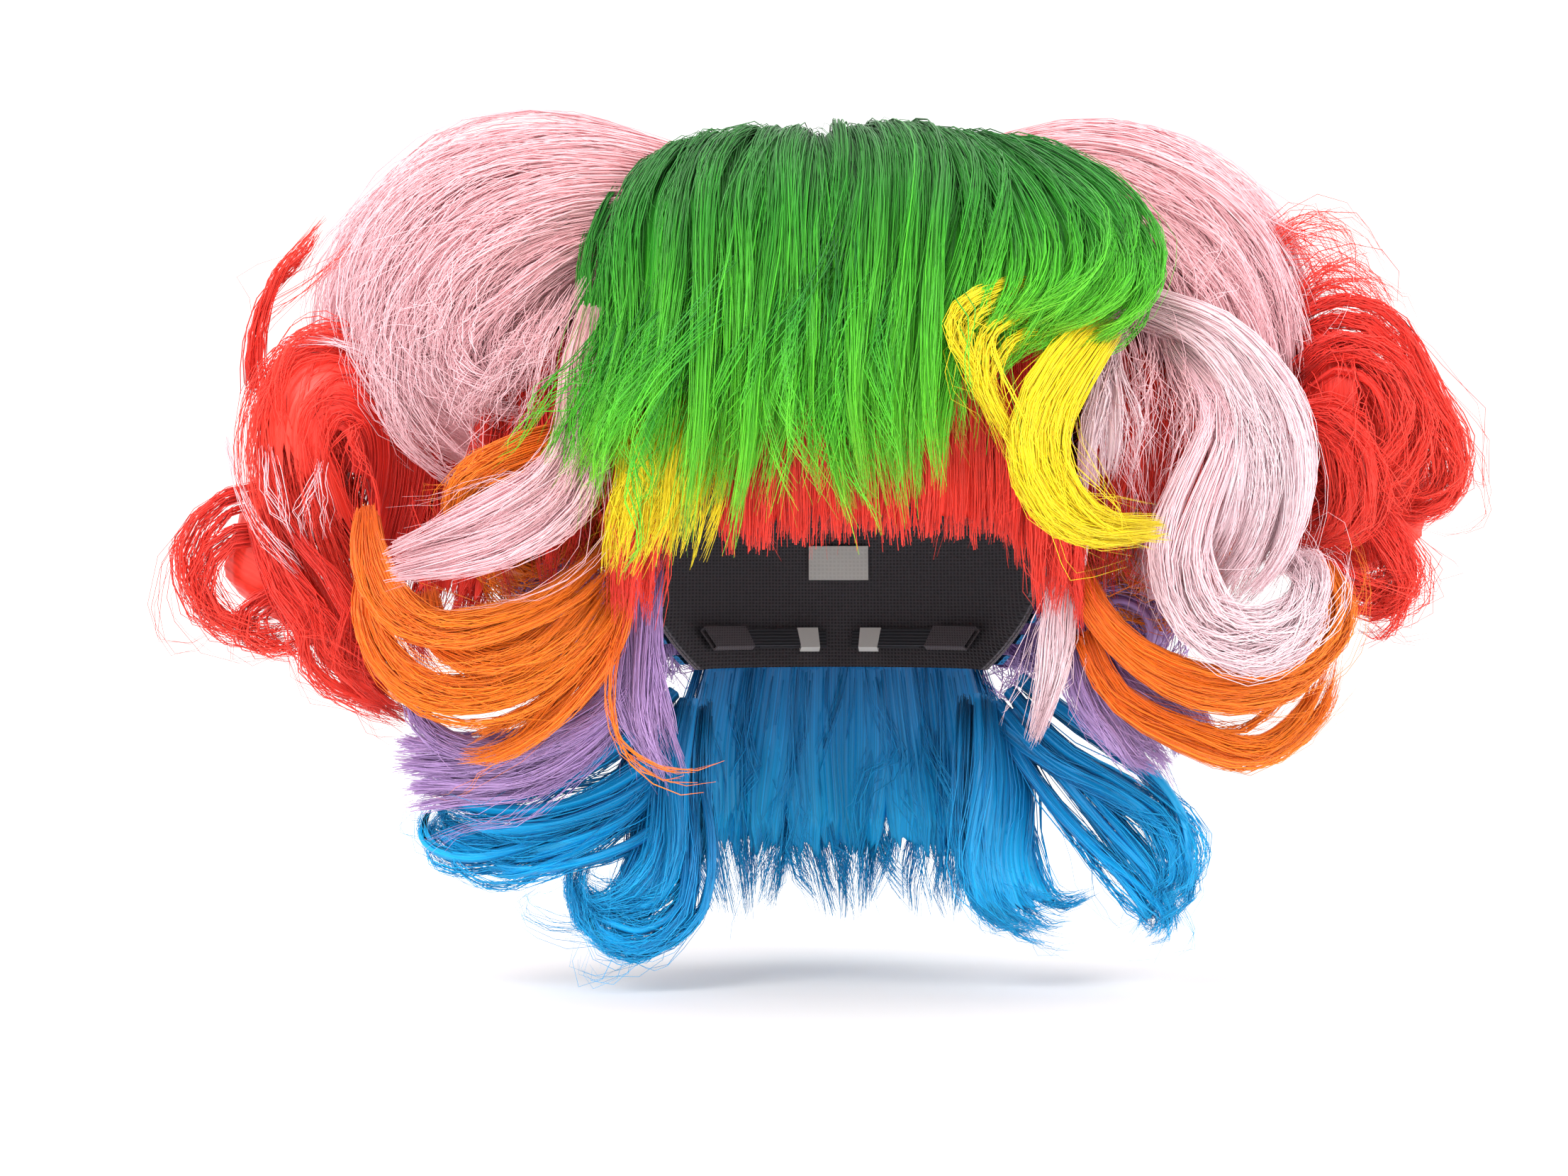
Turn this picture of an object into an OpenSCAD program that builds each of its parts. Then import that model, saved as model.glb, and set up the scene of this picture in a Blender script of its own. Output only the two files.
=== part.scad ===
// Costume wig: a net cap with sewn hair rows, and hair locks in seven colours.
// The origin is in the middle of the wearer's head, level with the eyes. The face looks along -Y.

/* [Head] */
// Radius of the head over the crown and round its sides
head_r = 78; // [66:1:94]
// Straight length between the round front and the round back of the head
head_len = 38; // [28:1:48]
// Height of the widest part of the head above the eyes
head_up = 29; // [24:1:36]

/* [Cap] */
// Thickness of the crown net
net_t = 0.8; // [0.6:0.1:1.2]
// Height of the front hairline above the eyes
hairline_z = 62; // [54:1:72]
// Depth of the nape edge below the eyes
nape_drop = 28; // [24:1:32]
// Width of the bands along the cap's edges
band_w = 9; // [7:1:12]
// Thickness of the bands and the ear tabs
band_t = 1; // [0.8:0.1:1.4]
// Width of the crown ribbons
ribbon_w = 12; // [8:1:16]
// Thickness of the crown ribbons
ribbon_t = 0.8; // [0.6:0.1:1.2]
// Thickness of a hair row's sewn edge
weft_t = 1.6; // [1.2:0.1:2]
// Height of a hair row's sewn edge
weft_h = 3.5; // [2.5:0.5:5]
// Clear space between two layers of the cap
layer_gap = 0.2; // [0.2:0.05:0.4]

/* [Ear tabs] */
// Width of an ear tab
tab_w = 24; // [18:1:30]
// Length of an ear tab
tab_l = 26; // [20:1:32]
// Thickness of the flat stay sewn to an ear tab
stay_t = 0.7; // [0.5:0.1:1]
// Width of the stay
stay_w = 6; // [4:1:8]
// Length of the stay
stay_l = 20; // [14:1:24]

/* [Nape adjusters] */
// Height of the elastic straps and of the loop tapes
strap_h = 8; // [6:1:9]
// Thickness of the elastic straps
strap_t = 0.7; // [0.5:0.1:1]
// Thickness of the loop tapes
tape_t = 0.8; // [0.6:0.1:1]
// Thickness of the hook's plate
hook_t = 0.8; // [0.6:0.1:1]
// Clearance between the hook and the tape, and round the strap in its sleeve
slide_gap = 0.35; // [0.3:0.05:0.5]
// How far a hook can move along its tape
adjust_travel = 15; // [10:1:16]

/* [Care label] */
// Width of the blank label
label_w = 24; // [18:1:30]
// Height of the blank label
label_h = 14; // [10:1:18]

/* [Hair] */
// How much thicker than drawn the locks are
lock_fullness = 0; // [-1.5:0.5:2]
// Clear space between two locks
lock_gap = 0.8; // [0.6:0.1:1.5]
// Clear space between the hair rows and the locks
root_gap = 0.9; // [0.7:0.1:1.5]
// Share of its distance from the root that a hanging lock can swing
swing_share = 0.15; // [0.15:0.01:0.18]

/* [Hidden] */
$fn = 48;

// The locks' routes are drawn round a wig block of this size and move out with a larger head
block_r = 78;
block_len = 38;
block_up = 29;

net_out = head_r + net_t;
band_in = net_out + layer_gap;
band_out = band_in + band_t;
cross_in = band_out + layer_gap;
cross_out = cross_in + ribbon_t;
weft_in = cross_out + layer_gap;
weft_out = weft_in + weft_t;
scalp_r = weft_out + root_gap;
far = 3 * head_r + head_len;
crown_half_w = 46;
fringe_half_w = 40;

// The cap's edge in side view, measured from the middle of the head's round front
brow_ahead = 60;
temple_ahead = 48;
temple_drop = 10;
ear_front_y = -head_len / 2 - 31;
ear_back_y = ear_front_y + tab_w + 8;
ear_edge_z = 18;
temple_z = 24;
nape_slope_y = ear_back_y + 24;
nape_start_y = ear_back_y + 38;
nape_slope_z = -10;

// Adjusters: angles are measured round the nape from the middle of the back
nape_r = head_r * cos(nape_tilt());
tape_from = 5;
hook_from = 8;
hook_turn = 8;
strap_turn = 30;
travel_turn = adjust_travel / nape_r * 180 / PI;
end_turn = 4;
tape_to = hook_from + hook_turn + travel_turn + end_turn;
sleeve_from = tape_to + end_turn;
sleeve_to = sleeve_from + 24;
tape_depth = 2.8;
sewn_wall = 0.6;
tongue_share = 0.65;
label_t = 0.4;
label_depth = 3;
label_tilt = -12;
stay_tilt = -9;
stay_gap = 0.3;

function nape_tilt() = asin((nape_drop + head_up - band_w) / head_r);

// ---- head and cap shapes ----

module head_form(r) {
    translate([0, 0, head_up])
        rotate([-90, 0, 0])
            rotate_extrude()
                intersection() {
                    union() {
                        translate([0, head_len / 2]) circle(r, $fn = 96);
                        translate([0, -head_len / 2]) circle(r, $fn = 96);
                        translate([-r, -head_len / 2]) square([2 * r, head_len]);
                    }
                    translate([0, -far]) square([far, 2 * far]);
                }
}

module head_shell(inner, outer) {
    difference() {
        head_form(outer);
        head_form(inner);
    }
}

// Side view of the space over the cap's edge, moved up and back by lift
module over_edge(lift) {
    rotate([90, 0, 90])
        translate([0, 0, -far])
            linear_extrude(2 * far)
                translate([lift * 0.6, lift])
                    polygon([
                        [-far, hairline_z], [-head_len / 2 - brow_ahead, hairline_z],
                        [-head_len / 2 - temple_ahead, hairline_z - temple_drop],
                        [ear_front_y, temple_z],
                        [ear_back_y, ear_edge_z], [ear_back_y + 8, ear_edge_z],
                        [nape_slope_y, nape_slope_z], [nape_start_y, -nape_drop],
                        [far, -nape_drop], [far, far], [-far, far]
                    ]);
}

// A slab of the space where |x| is under half of w
module slab_x(x, w) {
    translate([x - w / 2, -far, -far]) cube([w, 2 * far, 2 * far]);
}

// Rows round the sides and back at each height
module side_rows(heights, from_y) {
    intersection() {
        head_shell(weft_in, weft_out);
        union() {
            for (z = heights)
                translate([-far, from_y, z]) cube([2 * far, far, weft_h]);
        }
        over_edge(1);
    }
}

// Rows from side to side over the crown, at each depth
module crown_rows(depths, half_w, low_z) {
    intersection() {
        head_shell(weft_in, weft_out);
        union() {
            for (y = depths)
                translate([-half_w, y, low_z]) cube([2 * half_w, weft_h, far]);
        }
        over_edge(1);
    }
}

// Puts a flat piece on the head: local X is level, local Y points inward, local Z is up
module on_scalp(turn, rise, out) {
    translate([0, sign(abs(turn) - 90) * head_len / 2, head_up])
        rotate([0, 0, turn])
            rotate([-rise, 0, 0])
                translate([0, -(head_r + out), 0])
                    children();
}

module crown_net() {
    color("#2c2a2c")
        intersection() {
            head_shell(head_r, net_out);
            over_edge(0);
        }
}

module edge_band(from_y, to_y) {
    intersection() {
        head_shell(band_in, band_out);
        difference() {
            over_edge(0);
            over_edge(band_w);
        }
        translate([-far, from_y, -far]) cube([2 * far, to_y - from_y, 2 * far]);
    }
}

module front_band() {
    color("#3a3638") edge_band(-far, ear_front_y - layer_gap);
}

module nape_band() {
    color("#3a3638") edge_band(nape_slope_y, far);
}

module ear_tab(side) {
    color("#3a3638")
        intersection() {
            head_shell(band_in, band_out);
            translate([side > 0 ? 0 : -far, ear_front_y, ear_edge_z + 8 - tab_l])
                cube([far, tab_w, tab_l]);
        }
}

module tab_stay(side) {
    turn = atan2(head_r, -(ear_front_y + tab_w / 2 + head_len / 2));
    color("#c9c9cc")
        on_scalp(side * turn, stay_tilt, band_out - head_r + layer_gap)
            translate([-stay_w / 2, -stay_t - stay_gap, -stay_l / 2 + 1])
                cube([stay_w, stay_t, stay_l]);
}

module front_to_back_ribbon(x) {
    color("#4a4446")
        intersection() {
            head_shell(band_in, band_in + ribbon_t);
            slab_x(x, ribbon_w);
            over_edge(band_w + 2 * layer_gap);
            translate([-far, -far, head_up]) cube([2 * far, 2 * far, far]);
        }
}

module ribbon_cross() {
    color("#4a4446")
        intersection() {
            head_shell(cross_in, cross_out);
            translate([-far, -ribbon_w / 2, head_up + 2]) cube([2 * far, ribbon_w, far]);
        }
}

module weft_red() {
    color("#b3262b") {
        crown_rows([-head_len / 2 - 66], fringe_half_w, head_up + 20);
        side_rows([60, 68], 2);
    }
}

module weft_yellow() {
    color("#d8c416") crown_rows([-head_len / 2 - 58], 44, head_up + 20);
}

module weft_green() {
    color("#1f7a2a")
        crown_rows([for (k = [0 : 4]) -head_len / 2 - 50 + 9 * k], fringe_half_w, head_up + 40);
}

module weft_pink() {
    color("#e6a5b4") {
        crown_rows([for (k = [0 : 6]) 12 + 10 * k], crown_half_w, head_up + 44);
        side_rows([78, 86], -24);
    }
}

module weft_orange() {
    color("#d9651b") side_rows([36, 44, 52], 2);
}

module weft_lilac() {
    color("#9a73ad") side_rows([6, 16, 26], 2);
}

module weft_blue() {
    color("#1668a6") side_rows([-26, -18, -10], 2);
}

// ---- nape adjusters: bands that turn about the upright axis of the head's round back ----

// Flat shape drawn in the band's own section: x inward, y up along the scalp
module nape_sweep(side, from, turn) {
    translate([0, head_len / 2, head_up])
        rotate([0, 0, side < 0 ? 90 + from : 90 - from - turn])
            rotate_extrude(angle = turn, $fn = 96)
                rotate(-nape_tilt())
                    translate([head_r, 0])
                        mirror([1, 0])
                            children();
}

module loop_tape(side) {
    color("#26252a")
        nape_sweep(side, tape_from, tape_to - tape_from)
            translate([tape_depth, -strap_h / 2]) square([tape_t, strap_h]);
}

// Distance of the hook's plate inside the net
plate_depth = tape_depth + tape_t + slide_gap;

module hook(side) {
    back = tape_depth - slide_gap - sewn_wall;
    low = -strap_h / 2 - slide_gap - hook_t;
    color("#e8e6e2")
        nape_sweep(side, hook_from, hook_turn)
            union() {
                translate([plate_depth, low]) square([hook_t, strap_h + hook_t + 1]);
                translate([back, low]) square([plate_depth - back, hook_t]);
                translate([back, low]) square([sewn_wall, strap_h * tongue_share]);
            }
}

module strap(side) {
    color("#35343a")
        nape_sweep(side, hook_from + hook_turn, strap_turn)
            translate([plate_depth, -strap_h / 2]) square([strap_t, strap_h]);
}

module sleeve(side) {
    inner_x = plate_depth - slide_gap;
    inner_h = strap_h + 2 * slide_gap;
    color("#3a3638")
        nape_sweep(side, sleeve_from, sleeve_to - sleeve_from)
            difference() {
                translate([inner_x - sewn_wall, -inner_h / 2 - sewn_wall])
                    square([strap_t + 2 * (slide_gap + sewn_wall), inner_h + 2 * sewn_wall]);
                translate([inner_x, -inner_h / 2])
                    square([strap_t + 2 * slide_gap, inner_h]);
            }
}

module care_label() {
    color("#f2f0ea")
        on_scalp(180, label_tilt, -label_depth)
            translate([-label_w / 2, 0, -label_h / 2])
                cube([label_w, label_t, label_h]);
}

// ---- hair: each lock is a chain of round beads [x, y, z, radius] ----

// Share of the way along the block's straight part, from -1 at its front to 1 at its back
function along(p) = max(-1, min(1, p.y / (block_len / 2)));

// A point of a route, measured from the block's middle line
function off_line(p) = [p.x, p.y, p.z] - [0, along(p) * block_len / 2, block_up];

// How much larger everything at a point is when the head isn't the block's size
function growth(p) = 1 + (head_r - block_r) / norm(off_line(p));

function with_head(p) = off_line(p) * growth(p) + [0, along(p) * head_len / 2, head_up];

module bead(route, i, grow, swing) {
    here = with_head(route[i]);
    reach = norm(here - with_head(route[0]));
    own = route[i][3] * growth(route[i]) + lock_fullness;
    translate(here) sphere(own + grow + swing * reach, $fn = 10);
}

module lock(route, grow = 0, swing = 0) {
    for (i = [0 : len(route) - 2])
        hull() {
            bead(route, i, grow, swing);
            bead(route, i + 1, grow, swing);
        }
}

module locks(routes, grow = 0, swing = 0) {
    for (route = routes) lock(route, grow, swing);
}

// The head, the cap and the hair rows, which no lock may enter
module scalp() {
    hull() {
        for (y = [-1, 1] * head_len / 2)
            translate([0, y, head_up]) sphere(scalp_r + 0.4, $fn = 36);
    }
}

// Half of the space, on one side of the middle
module half(side) {
    translate([side > 0 ? lock_gap / 2 : -far - lock_gap / 2, -far, -far]) cube([far, 2 * far, 2 * far]);
}

// Routes of the hanging locks, which swing
YELLOW_LOCK = [[
    [80, -92, 94, 6], [67, -108, 70, 8], [66, -116, 46, 8],
    [78, -115, 29, 7], [100, -106, 21, 4]
]];
RED_CURL_LEFT = [[
    [-168, 8, 88, 12], [-193, -4, 72, 28], [-205, -6, 42, 26], [-222, -4, 12, 21],
    [-198, 0, -10, 18], [-174, 2, -32, 13]
]];
RED_CURL_RIGHT = [[
    [162, 8, 96, 10], [188, 0, 84, 20], [204, -4, 56, 24], [208, -4, 28, 20], [188, -2, 10, 14]
]];
BLUE_LEFT = [
    [[-64, 34, -46, 13], [-86, 34, -62, 18], [-114, 28, -78, 16], [-142, 20, -88, 13]],
    [[-64, 34, -46, 13], [-72, 30, -80, 19], [-76, 24, -106, 17], [-72, 18, -121, 12]]
];
BLUE_RIGHT = [
    [[64, 34, -46, 13], [88, 34, -64, 17], [110, 28, -84, 15], [116, 22, -110, 12]],
    [[64, 34, -46, 13], [66, 30, -82, 17], [62, 24, -110, 13]]
];
BLUE_BACK = [for (x = [-34, 0, 34])
    [[x, 86, -40, 11], [x * 1.15, 96, -62, 16], [x * 1.2, 98, -92, 15], [x * 1.2, 92, -120, 9]]
];

// Routes of the locks that are held by their neighbours
CROWN_PAD = [[[-26, 18, 122, 16], [0, -10, 126, 18], [26, 18, 122, 16]]];
PAD_LEFT = [[[-72, 5, 102, 18], [-100, 0, 92, 20], [-104, 5, 66, 16]]];
PAD_RIGHT = [[[70, 8, 104, 16], [96, 5, 92, 18], [100, 8, 68, 14]]];
GREEN_LEFT = [
    [
        [-20, -22, 152, 14], [-28, -76, 130, 15], [-30, -108, 88, 12],
        [-28, -115, 56, 8], [-26, -114, 36, 5]
    ],
    [
        [-46, -18, 150, 15], [-58, -70, 126, 16], [-62, -98, 86, 13],
        [-66, -103, 52, 8], [-66, -100, 30, 5]
    ],
    [[-66, -8, 143, 12], [-82, -50, 118, 13], [-86, -72, 86, 11], [-94, -76, 56, 7], [-100, -72, 42, 4]]
];
GREEN_RIGHT = [
    [[0, -22, 151, 14], [-2, -78, 130, 15], [-2, -110, 88, 12], [0, -118, 56, 8], [2, -117, 34, 5]],
    [[26, -20, 157, 14], [28, -74, 132, 16], [30, -106, 88, 12], [32, -114, 56, 8], [34, -112, 32, 5]],
    [[44, -20, 153, 13], [52, -64, 130, 14], [50, -94, 96, 11], [48, -106, 70, 7]]
];
GREEN_SWEEP = [[
    [46, -8, 150, 13], [70, -44, 142, 17], [92, -66, 121, 17],
    [94, -78, 104, 11], [78, -88, 108, 7]
]];
YELLOW_STRANDS = [[
    [70, -100, 88, 4], [48, -110, 92, 6], [44, -116, 76, 6],
    [50, -117, 60, 5], [58, -112, 42, 4]
]];
YELLOW_UNDER = [
    [[-58, -88, 70, 5], [-62, -92, 44, 6], [-66, -92, 16, 4]],
    [[-80, -72, 60, 5], [-84, -74, 34, 5], [-86, -70, 10, 3]]
];
RED_FRINGE = [for (x = [-40, -20, 0, 20, 40, 58])
    let (y = -20 - sqrt(84 * 84 - x * x))
    [[x, y + 6, 76, 5], [x, y - 1, 46, 5], [x * 1.03, y - 1, 24, 4]]
];
RED_SIDE_LEFT = [[[-70, -70, 56, 6], [-74, -72, 30, 6], [-73, -70, 6, 4]]];
RED_SIDE_RIGHT = [[[70, -72, 50, 6], [74, -72, 26, 6], [72, -70, 2, 5]]];
PINK_PUFF_LEFT = [[
    [-56, 14, 148, 20], [-100, 4, 138, 34], [-138, 0, 116, 44],
    [-142, 0, 92, 42], [-130, 4, 66, 26]
]];
PINK_PUFF_RIGHT = [[
    [56, 14, 148, 20], [92, 4, 142, 32], [126, 0, 118, 36],
    [136, 0, 78, 28], [132, 0, 34, 22], [122, -4, 6, 14]
]];
PINK_LOCK_LEFT = [[[-86, -64, 46, 9], [-98, -76, 34, 11], [-126, -80, 22, 11], [-158, -72, 16, 7]]];
PINK_LOCK_RIGHT = [
    [
        [90, -34, 104, 9], [115, -50, 94, 12], [140, -60, 76, 12],
        [154, -64, 48, 12], [154, -64, 18, 11], [140, -64, -4, 8]
    ],
    [[118, -68, 18, 6], [116, -70, 0, 7], [130, -70, -22, 8], [158, -64, -20, 8], [172, -56, 2, 6]],
    [[92, -58, 98, 6], [88, -72, 70, 6], [84, -74, 34, 5]]
];
PINK_FACE_LOCK = [[[86, -54, 24, 5], [79, -54, 0, 7], [71, -50, -25, 7], [66, -46, -46, 4]]];
ORANGE_LEFT = [
    [[-172, -48, 28, 6], [-168, -54, 5, 8], [-146, -62, -10, 9], [-120, -66, -6, 9], [-98, -66, 8, 8]],
    [
        [-168, -36, 0, 8], [-158, -42, -18, 10], [-134, -46, -30, 11],
        [-104, -50, -20, 12], [-86, -56, 12, 10]
    ],
    [[-108, -48, 50, 9], [-126, -50, 42, 9], [-134, -50, 26, 8]]
];
ORANGE_RIGHT = [
    [
        [86, -62, 2, 8], [106, -60, -20, 12], [138, -54, -30, 12],
        [168, -46, -24, 10], [178, -40, -4, 8], [171, -38, 14, 6]
    ],
    [[96, -42, -32, 8], [137, -36, -48, 9], [168, -34, -42, 8]]
];
LILAC_LEFT = [[[-78, -44, 0, 8], [-82, -34, -34, 12], [-108, -22, -50, 15], [-148, -12, -62, 13]]];
LILAC_RIGHT = [[[80, -38, -8, 8], [90, -28, -38, 13], [112, -20, -50, 14], [108, -16, -62, 7]]];

// A tier of hair round one side of the back, as one chain at one height
function tier(side, z, out, r, from, to) = [[
    for (k = [0 : 4])
        let (turn = from + (to - from) * k / 4)
        [side * sin(turn) * (block_r + out), block_len / 2 + cos(turn) * (block_r + out), z, r]
]];
BACK_PINK = [for (side = [-1, 1]) concat(
    tier(side, 112, -6, 33, 6, 84),
    [[[side * 14, 24, 134, 24], [side * 26, 58, 128, 26], [side * 52, 76, 118, 26]]]
)];
BACK_RED = [for (side = [-1, 1]) tier(side, 64, 40, 27, 8, 96)];
BACK_ORANGE = [for (side = [-1, 1]) tier(side, 22, 44, 21, 6, 108)];
BACK_LILAC = [for (side = [-1, 1]) tier(side, -14, 30, 18, 5, 100)];

// Space that the swinging locks need
module side_swings() {
    locks(RED_CURL_LEFT, lock_gap, swing_share);
    locks(RED_CURL_RIGHT, lock_gap, swing_share);
}

module nape_swings() {
    locks(BLUE_LEFT, lock_gap, swing_share);
    locks(BLUE_RIGHT, lock_gap, swing_share);
    locks(BLUE_BACK, lock_gap, swing_share);
}

module hair(tint, routes) {
    color(tint)
        difference() {
            locks(routes);
            scalp();
            children();
        }
}

module green_left() {
    hair("#2fb52f", GREEN_LEFT) {
        locks(CROWN_PAD, lock_gap);
        locks(YELLOW_UNDER, lock_gap);
    }
}

module green_right() {
    hair("#35c235", GREEN_RIGHT) {
        locks(GREEN_LEFT, lock_gap);
        locks(CROWN_PAD, lock_gap);
        locks(YELLOW_STRANDS, lock_gap);
        locks(YELLOW_LOCK, lock_gap, swing_share);
    }
}

module green_sweep() {
    hair("#2ea82e", GREEN_SWEEP) {
        locks(GREEN_RIGHT, lock_gap);
        locks(CROWN_PAD, lock_gap);
        locks(YELLOW_STRANDS, lock_gap);
        locks(YELLOW_LOCK, lock_gap, swing_share);
    }
}

module red_fringe() {
    hair("#e5352a", RED_FRINGE) {
        locks(GREEN_LEFT, lock_gap);
        locks(GREEN_RIGHT, lock_gap);
        locks(YELLOW_UNDER, lock_gap);
        locks(YELLOW_STRANDS, lock_gap);
        locks(YELLOW_LOCK, lock_gap, swing_share);
        locks(RED_SIDE_RIGHT, lock_gap);
    }
}

module pink_puff_left() {
    hair("#f6b6c6", PINK_PUFF_LEFT) {
        locks(GREEN_LEFT, lock_gap);
        locks(CROWN_PAD, lock_gap);
        locks(PAD_LEFT, lock_gap);
        locks(RED_CURL_LEFT, lock_gap, swing_share);
    }
}

module pink_puff_right() {
    hair("#f6b6c6", PINK_PUFF_RIGHT) {
        locks(GREEN_SWEEP, lock_gap);
        locks(GREEN_RIGHT, lock_gap);
        locks(CROWN_PAD, lock_gap);
        locks(PAD_RIGHT, lock_gap);
        locks(PINK_LOCK_RIGHT, lock_gap);
        locks(RED_CURL_RIGHT, lock_gap, swing_share);
    }
}

module back_pink(k) {
    side = k * 2 - 1;
    intersection() {
        hair("#f3aebf", BACK_PINK[k]) {
            locks(CROWN_PAD, lock_gap);
            locks(k == 0 ? PINK_PUFF_LEFT : PINK_PUFF_RIGHT, lock_gap);
            locks(k == 0 ? PAD_LEFT : PAD_RIGHT, lock_gap);
            side_swings();
        }
        half(side);
    }
}

module back_red(k) {
    intersection() {
        hair("#d62f2a", BACK_RED[k]) {
            locks(BACK_PINK[k], lock_gap);
            locks(k == 0 ? PINK_PUFF_LEFT : PINK_PUFF_RIGHT, lock_gap);
            locks(k == 0 ? PAD_LEFT : PAD_RIGHT, lock_gap);
            side_swings();
        }
        half(k * 2 - 1);
    }
}

module back_orange() {
    hair("#ef7a1f", concat(BACK_ORANGE[0], BACK_ORANGE[1])) {
        for (k = [0, 1]) locks(BACK_RED[k], lock_gap);
        locks(PINK_PUFF_LEFT, lock_gap);
        locks(PINK_PUFF_RIGHT, lock_gap);
        locks(ORANGE_LEFT, lock_gap);
        locks(ORANGE_RIGHT, lock_gap);
        side_swings();
        nape_swings();
    }
}

module back_lilac() {
    hair("#a884bd", concat(BACK_LILAC[0], BACK_LILAC[1])) {
        for (k = [0, 1]) locks(BACK_ORANGE[k], lock_gap);
        locks(LILAC_LEFT, lock_gap);
        locks(LILAC_RIGHT, lock_gap);
        locks(ORANGE_LEFT, lock_gap);
        locks(ORANGE_RIGHT, lock_gap);
        locks(PINK_PUFF_RIGHT, lock_gap);
        side_swings();
        nape_swings();
    }
}

module yellow_strands() {
    hair("#ffe512", YELLOW_STRANDS) locks(YELLOW_LOCK, lock_gap, swing_share);
}

module red_side_left() {
    hair("#e5352a", RED_SIDE_LEFT) locks(YELLOW_UNDER, lock_gap);
}

module red_side_right() {
    hair("#e5352a", RED_SIDE_RIGHT) locks(YELLOW_LOCK, lock_gap, swing_share);
}

module pink_lock_left() {
    hair("#f7bccb", PINK_LOCK_LEFT) {
        locks(YELLOW_UNDER, lock_gap);
        locks(GREEN_LEFT, lock_gap);
    }
}

module pink_lock_right() {
    hair("#f9d3df", PINK_LOCK_RIGHT) {
        locks(GREEN_SWEEP, lock_gap);
        locks(RED_SIDE_RIGHT, lock_gap);
    }
}

module pink_face_lock() {
    hair("#f2bcd2", PINK_FACE_LOCK) locks(RED_SIDE_RIGHT, lock_gap);
}

module orange_left() {
    hair("#f97a1c", ORANGE_LEFT) locks(PINK_LOCK_LEFT, lock_gap);
}

module orange_right() {
    hair("#f97a1c", ORANGE_RIGHT) {
        locks(PINK_LOCK_RIGHT, lock_gap);
        locks(PINK_FACE_LOCK, lock_gap);
    }
}

module lilac_left() {
    hair("#a97cc2", LILAC_LEFT) locks(ORANGE_LEFT, lock_gap);
}

module lilac_right() {
    hair("#a97cc2", LILAC_RIGHT) {
        locks(ORANGE_RIGHT, lock_gap);
        locks(PINK_FACE_LOCK, lock_gap);
    }
}

crown_net();
front_band();
nape_band();
ear_tab(-1);  // ear_tab_left
ear_tab(1);  // ear_tab_right
tab_stay(-1);  // tab_stay_left
tab_stay(1);  // tab_stay_right
front_to_back_ribbon(0);  // ribbon_centre
front_to_back_ribbon(-head_r * 0.5);  // ribbon_left
front_to_back_ribbon(head_r * 0.5);  // ribbon_right
ribbon_cross();
weft_red();
weft_yellow();
weft_green();
weft_pink();
weft_orange();
weft_lilac();
weft_blue();
loop_tape(-1);  // loop_tape_left
loop_tape(1);  // loop_tape_right
sleeve(-1);  // sleeve_left
sleeve(1);  // sleeve_right
strap(-1);  // strap_left
strap(1);  // strap_right
hook(-1);  // hook_left
hook(1);  // hook_right
care_label();
hair("#8fae84", CROWN_PAD);  // crown_pad
hair("#b98f8a", PAD_LEFT);  // pad_left
hair("#b98f8a", PAD_RIGHT);  // pad_right
green_left();
green_right();
green_sweep();
yellow_strands();
hair("#f2cf1a", YELLOW_UNDER);  // yellow_under
hair("#ffe512", YELLOW_LOCK);  // yellow_lock
red_fringe();
red_side_left();
red_side_right();
pink_puff_left();
pink_puff_right();
pink_lock_left();
pink_lock_right();
pink_face_lock();
hair("#e5352a", RED_CURL_LEFT);  // red_curl_left
hair("#e5352a", RED_CURL_RIGHT);  // red_curl_right
orange_left();
orange_right();
lilac_left();
lilac_right();
hair("#0d7fcb", BLUE_LEFT);  // blue_left
hair("#0d7fcb", BLUE_RIGHT);  // blue_right
hair("#0d6db5", BLUE_BACK);  // blue_back
back_pink(0);  // back_pink_left
back_pink(1);  // back_pink_right
back_red(0);  // back_red_left
back_red(1);  // back_red_right
back_orange();
back_lilac();
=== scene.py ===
"""Looks of the costume wig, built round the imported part: hair, net cap, adjusters, floor and light."""

import bpy
import numpy as np
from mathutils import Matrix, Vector


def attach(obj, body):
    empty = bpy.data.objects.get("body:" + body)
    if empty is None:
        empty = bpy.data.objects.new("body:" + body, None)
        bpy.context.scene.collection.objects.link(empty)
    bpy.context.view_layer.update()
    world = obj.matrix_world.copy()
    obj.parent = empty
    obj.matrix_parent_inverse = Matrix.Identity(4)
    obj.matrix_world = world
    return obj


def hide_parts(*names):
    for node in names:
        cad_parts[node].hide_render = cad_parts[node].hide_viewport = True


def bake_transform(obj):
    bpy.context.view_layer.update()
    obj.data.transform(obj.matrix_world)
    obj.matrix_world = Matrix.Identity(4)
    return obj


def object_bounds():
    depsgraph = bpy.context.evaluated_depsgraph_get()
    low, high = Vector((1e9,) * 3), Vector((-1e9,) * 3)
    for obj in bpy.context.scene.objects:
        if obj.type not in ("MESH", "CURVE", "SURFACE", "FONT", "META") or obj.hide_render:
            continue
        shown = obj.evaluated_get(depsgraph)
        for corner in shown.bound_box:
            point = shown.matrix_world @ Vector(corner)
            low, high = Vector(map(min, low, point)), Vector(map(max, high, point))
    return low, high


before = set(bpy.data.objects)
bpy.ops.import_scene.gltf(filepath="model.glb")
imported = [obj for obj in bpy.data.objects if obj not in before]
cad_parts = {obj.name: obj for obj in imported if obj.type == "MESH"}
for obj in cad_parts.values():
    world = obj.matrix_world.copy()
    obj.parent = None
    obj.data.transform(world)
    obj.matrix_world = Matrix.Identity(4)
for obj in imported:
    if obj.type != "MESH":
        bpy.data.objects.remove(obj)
cad_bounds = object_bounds()

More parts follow.
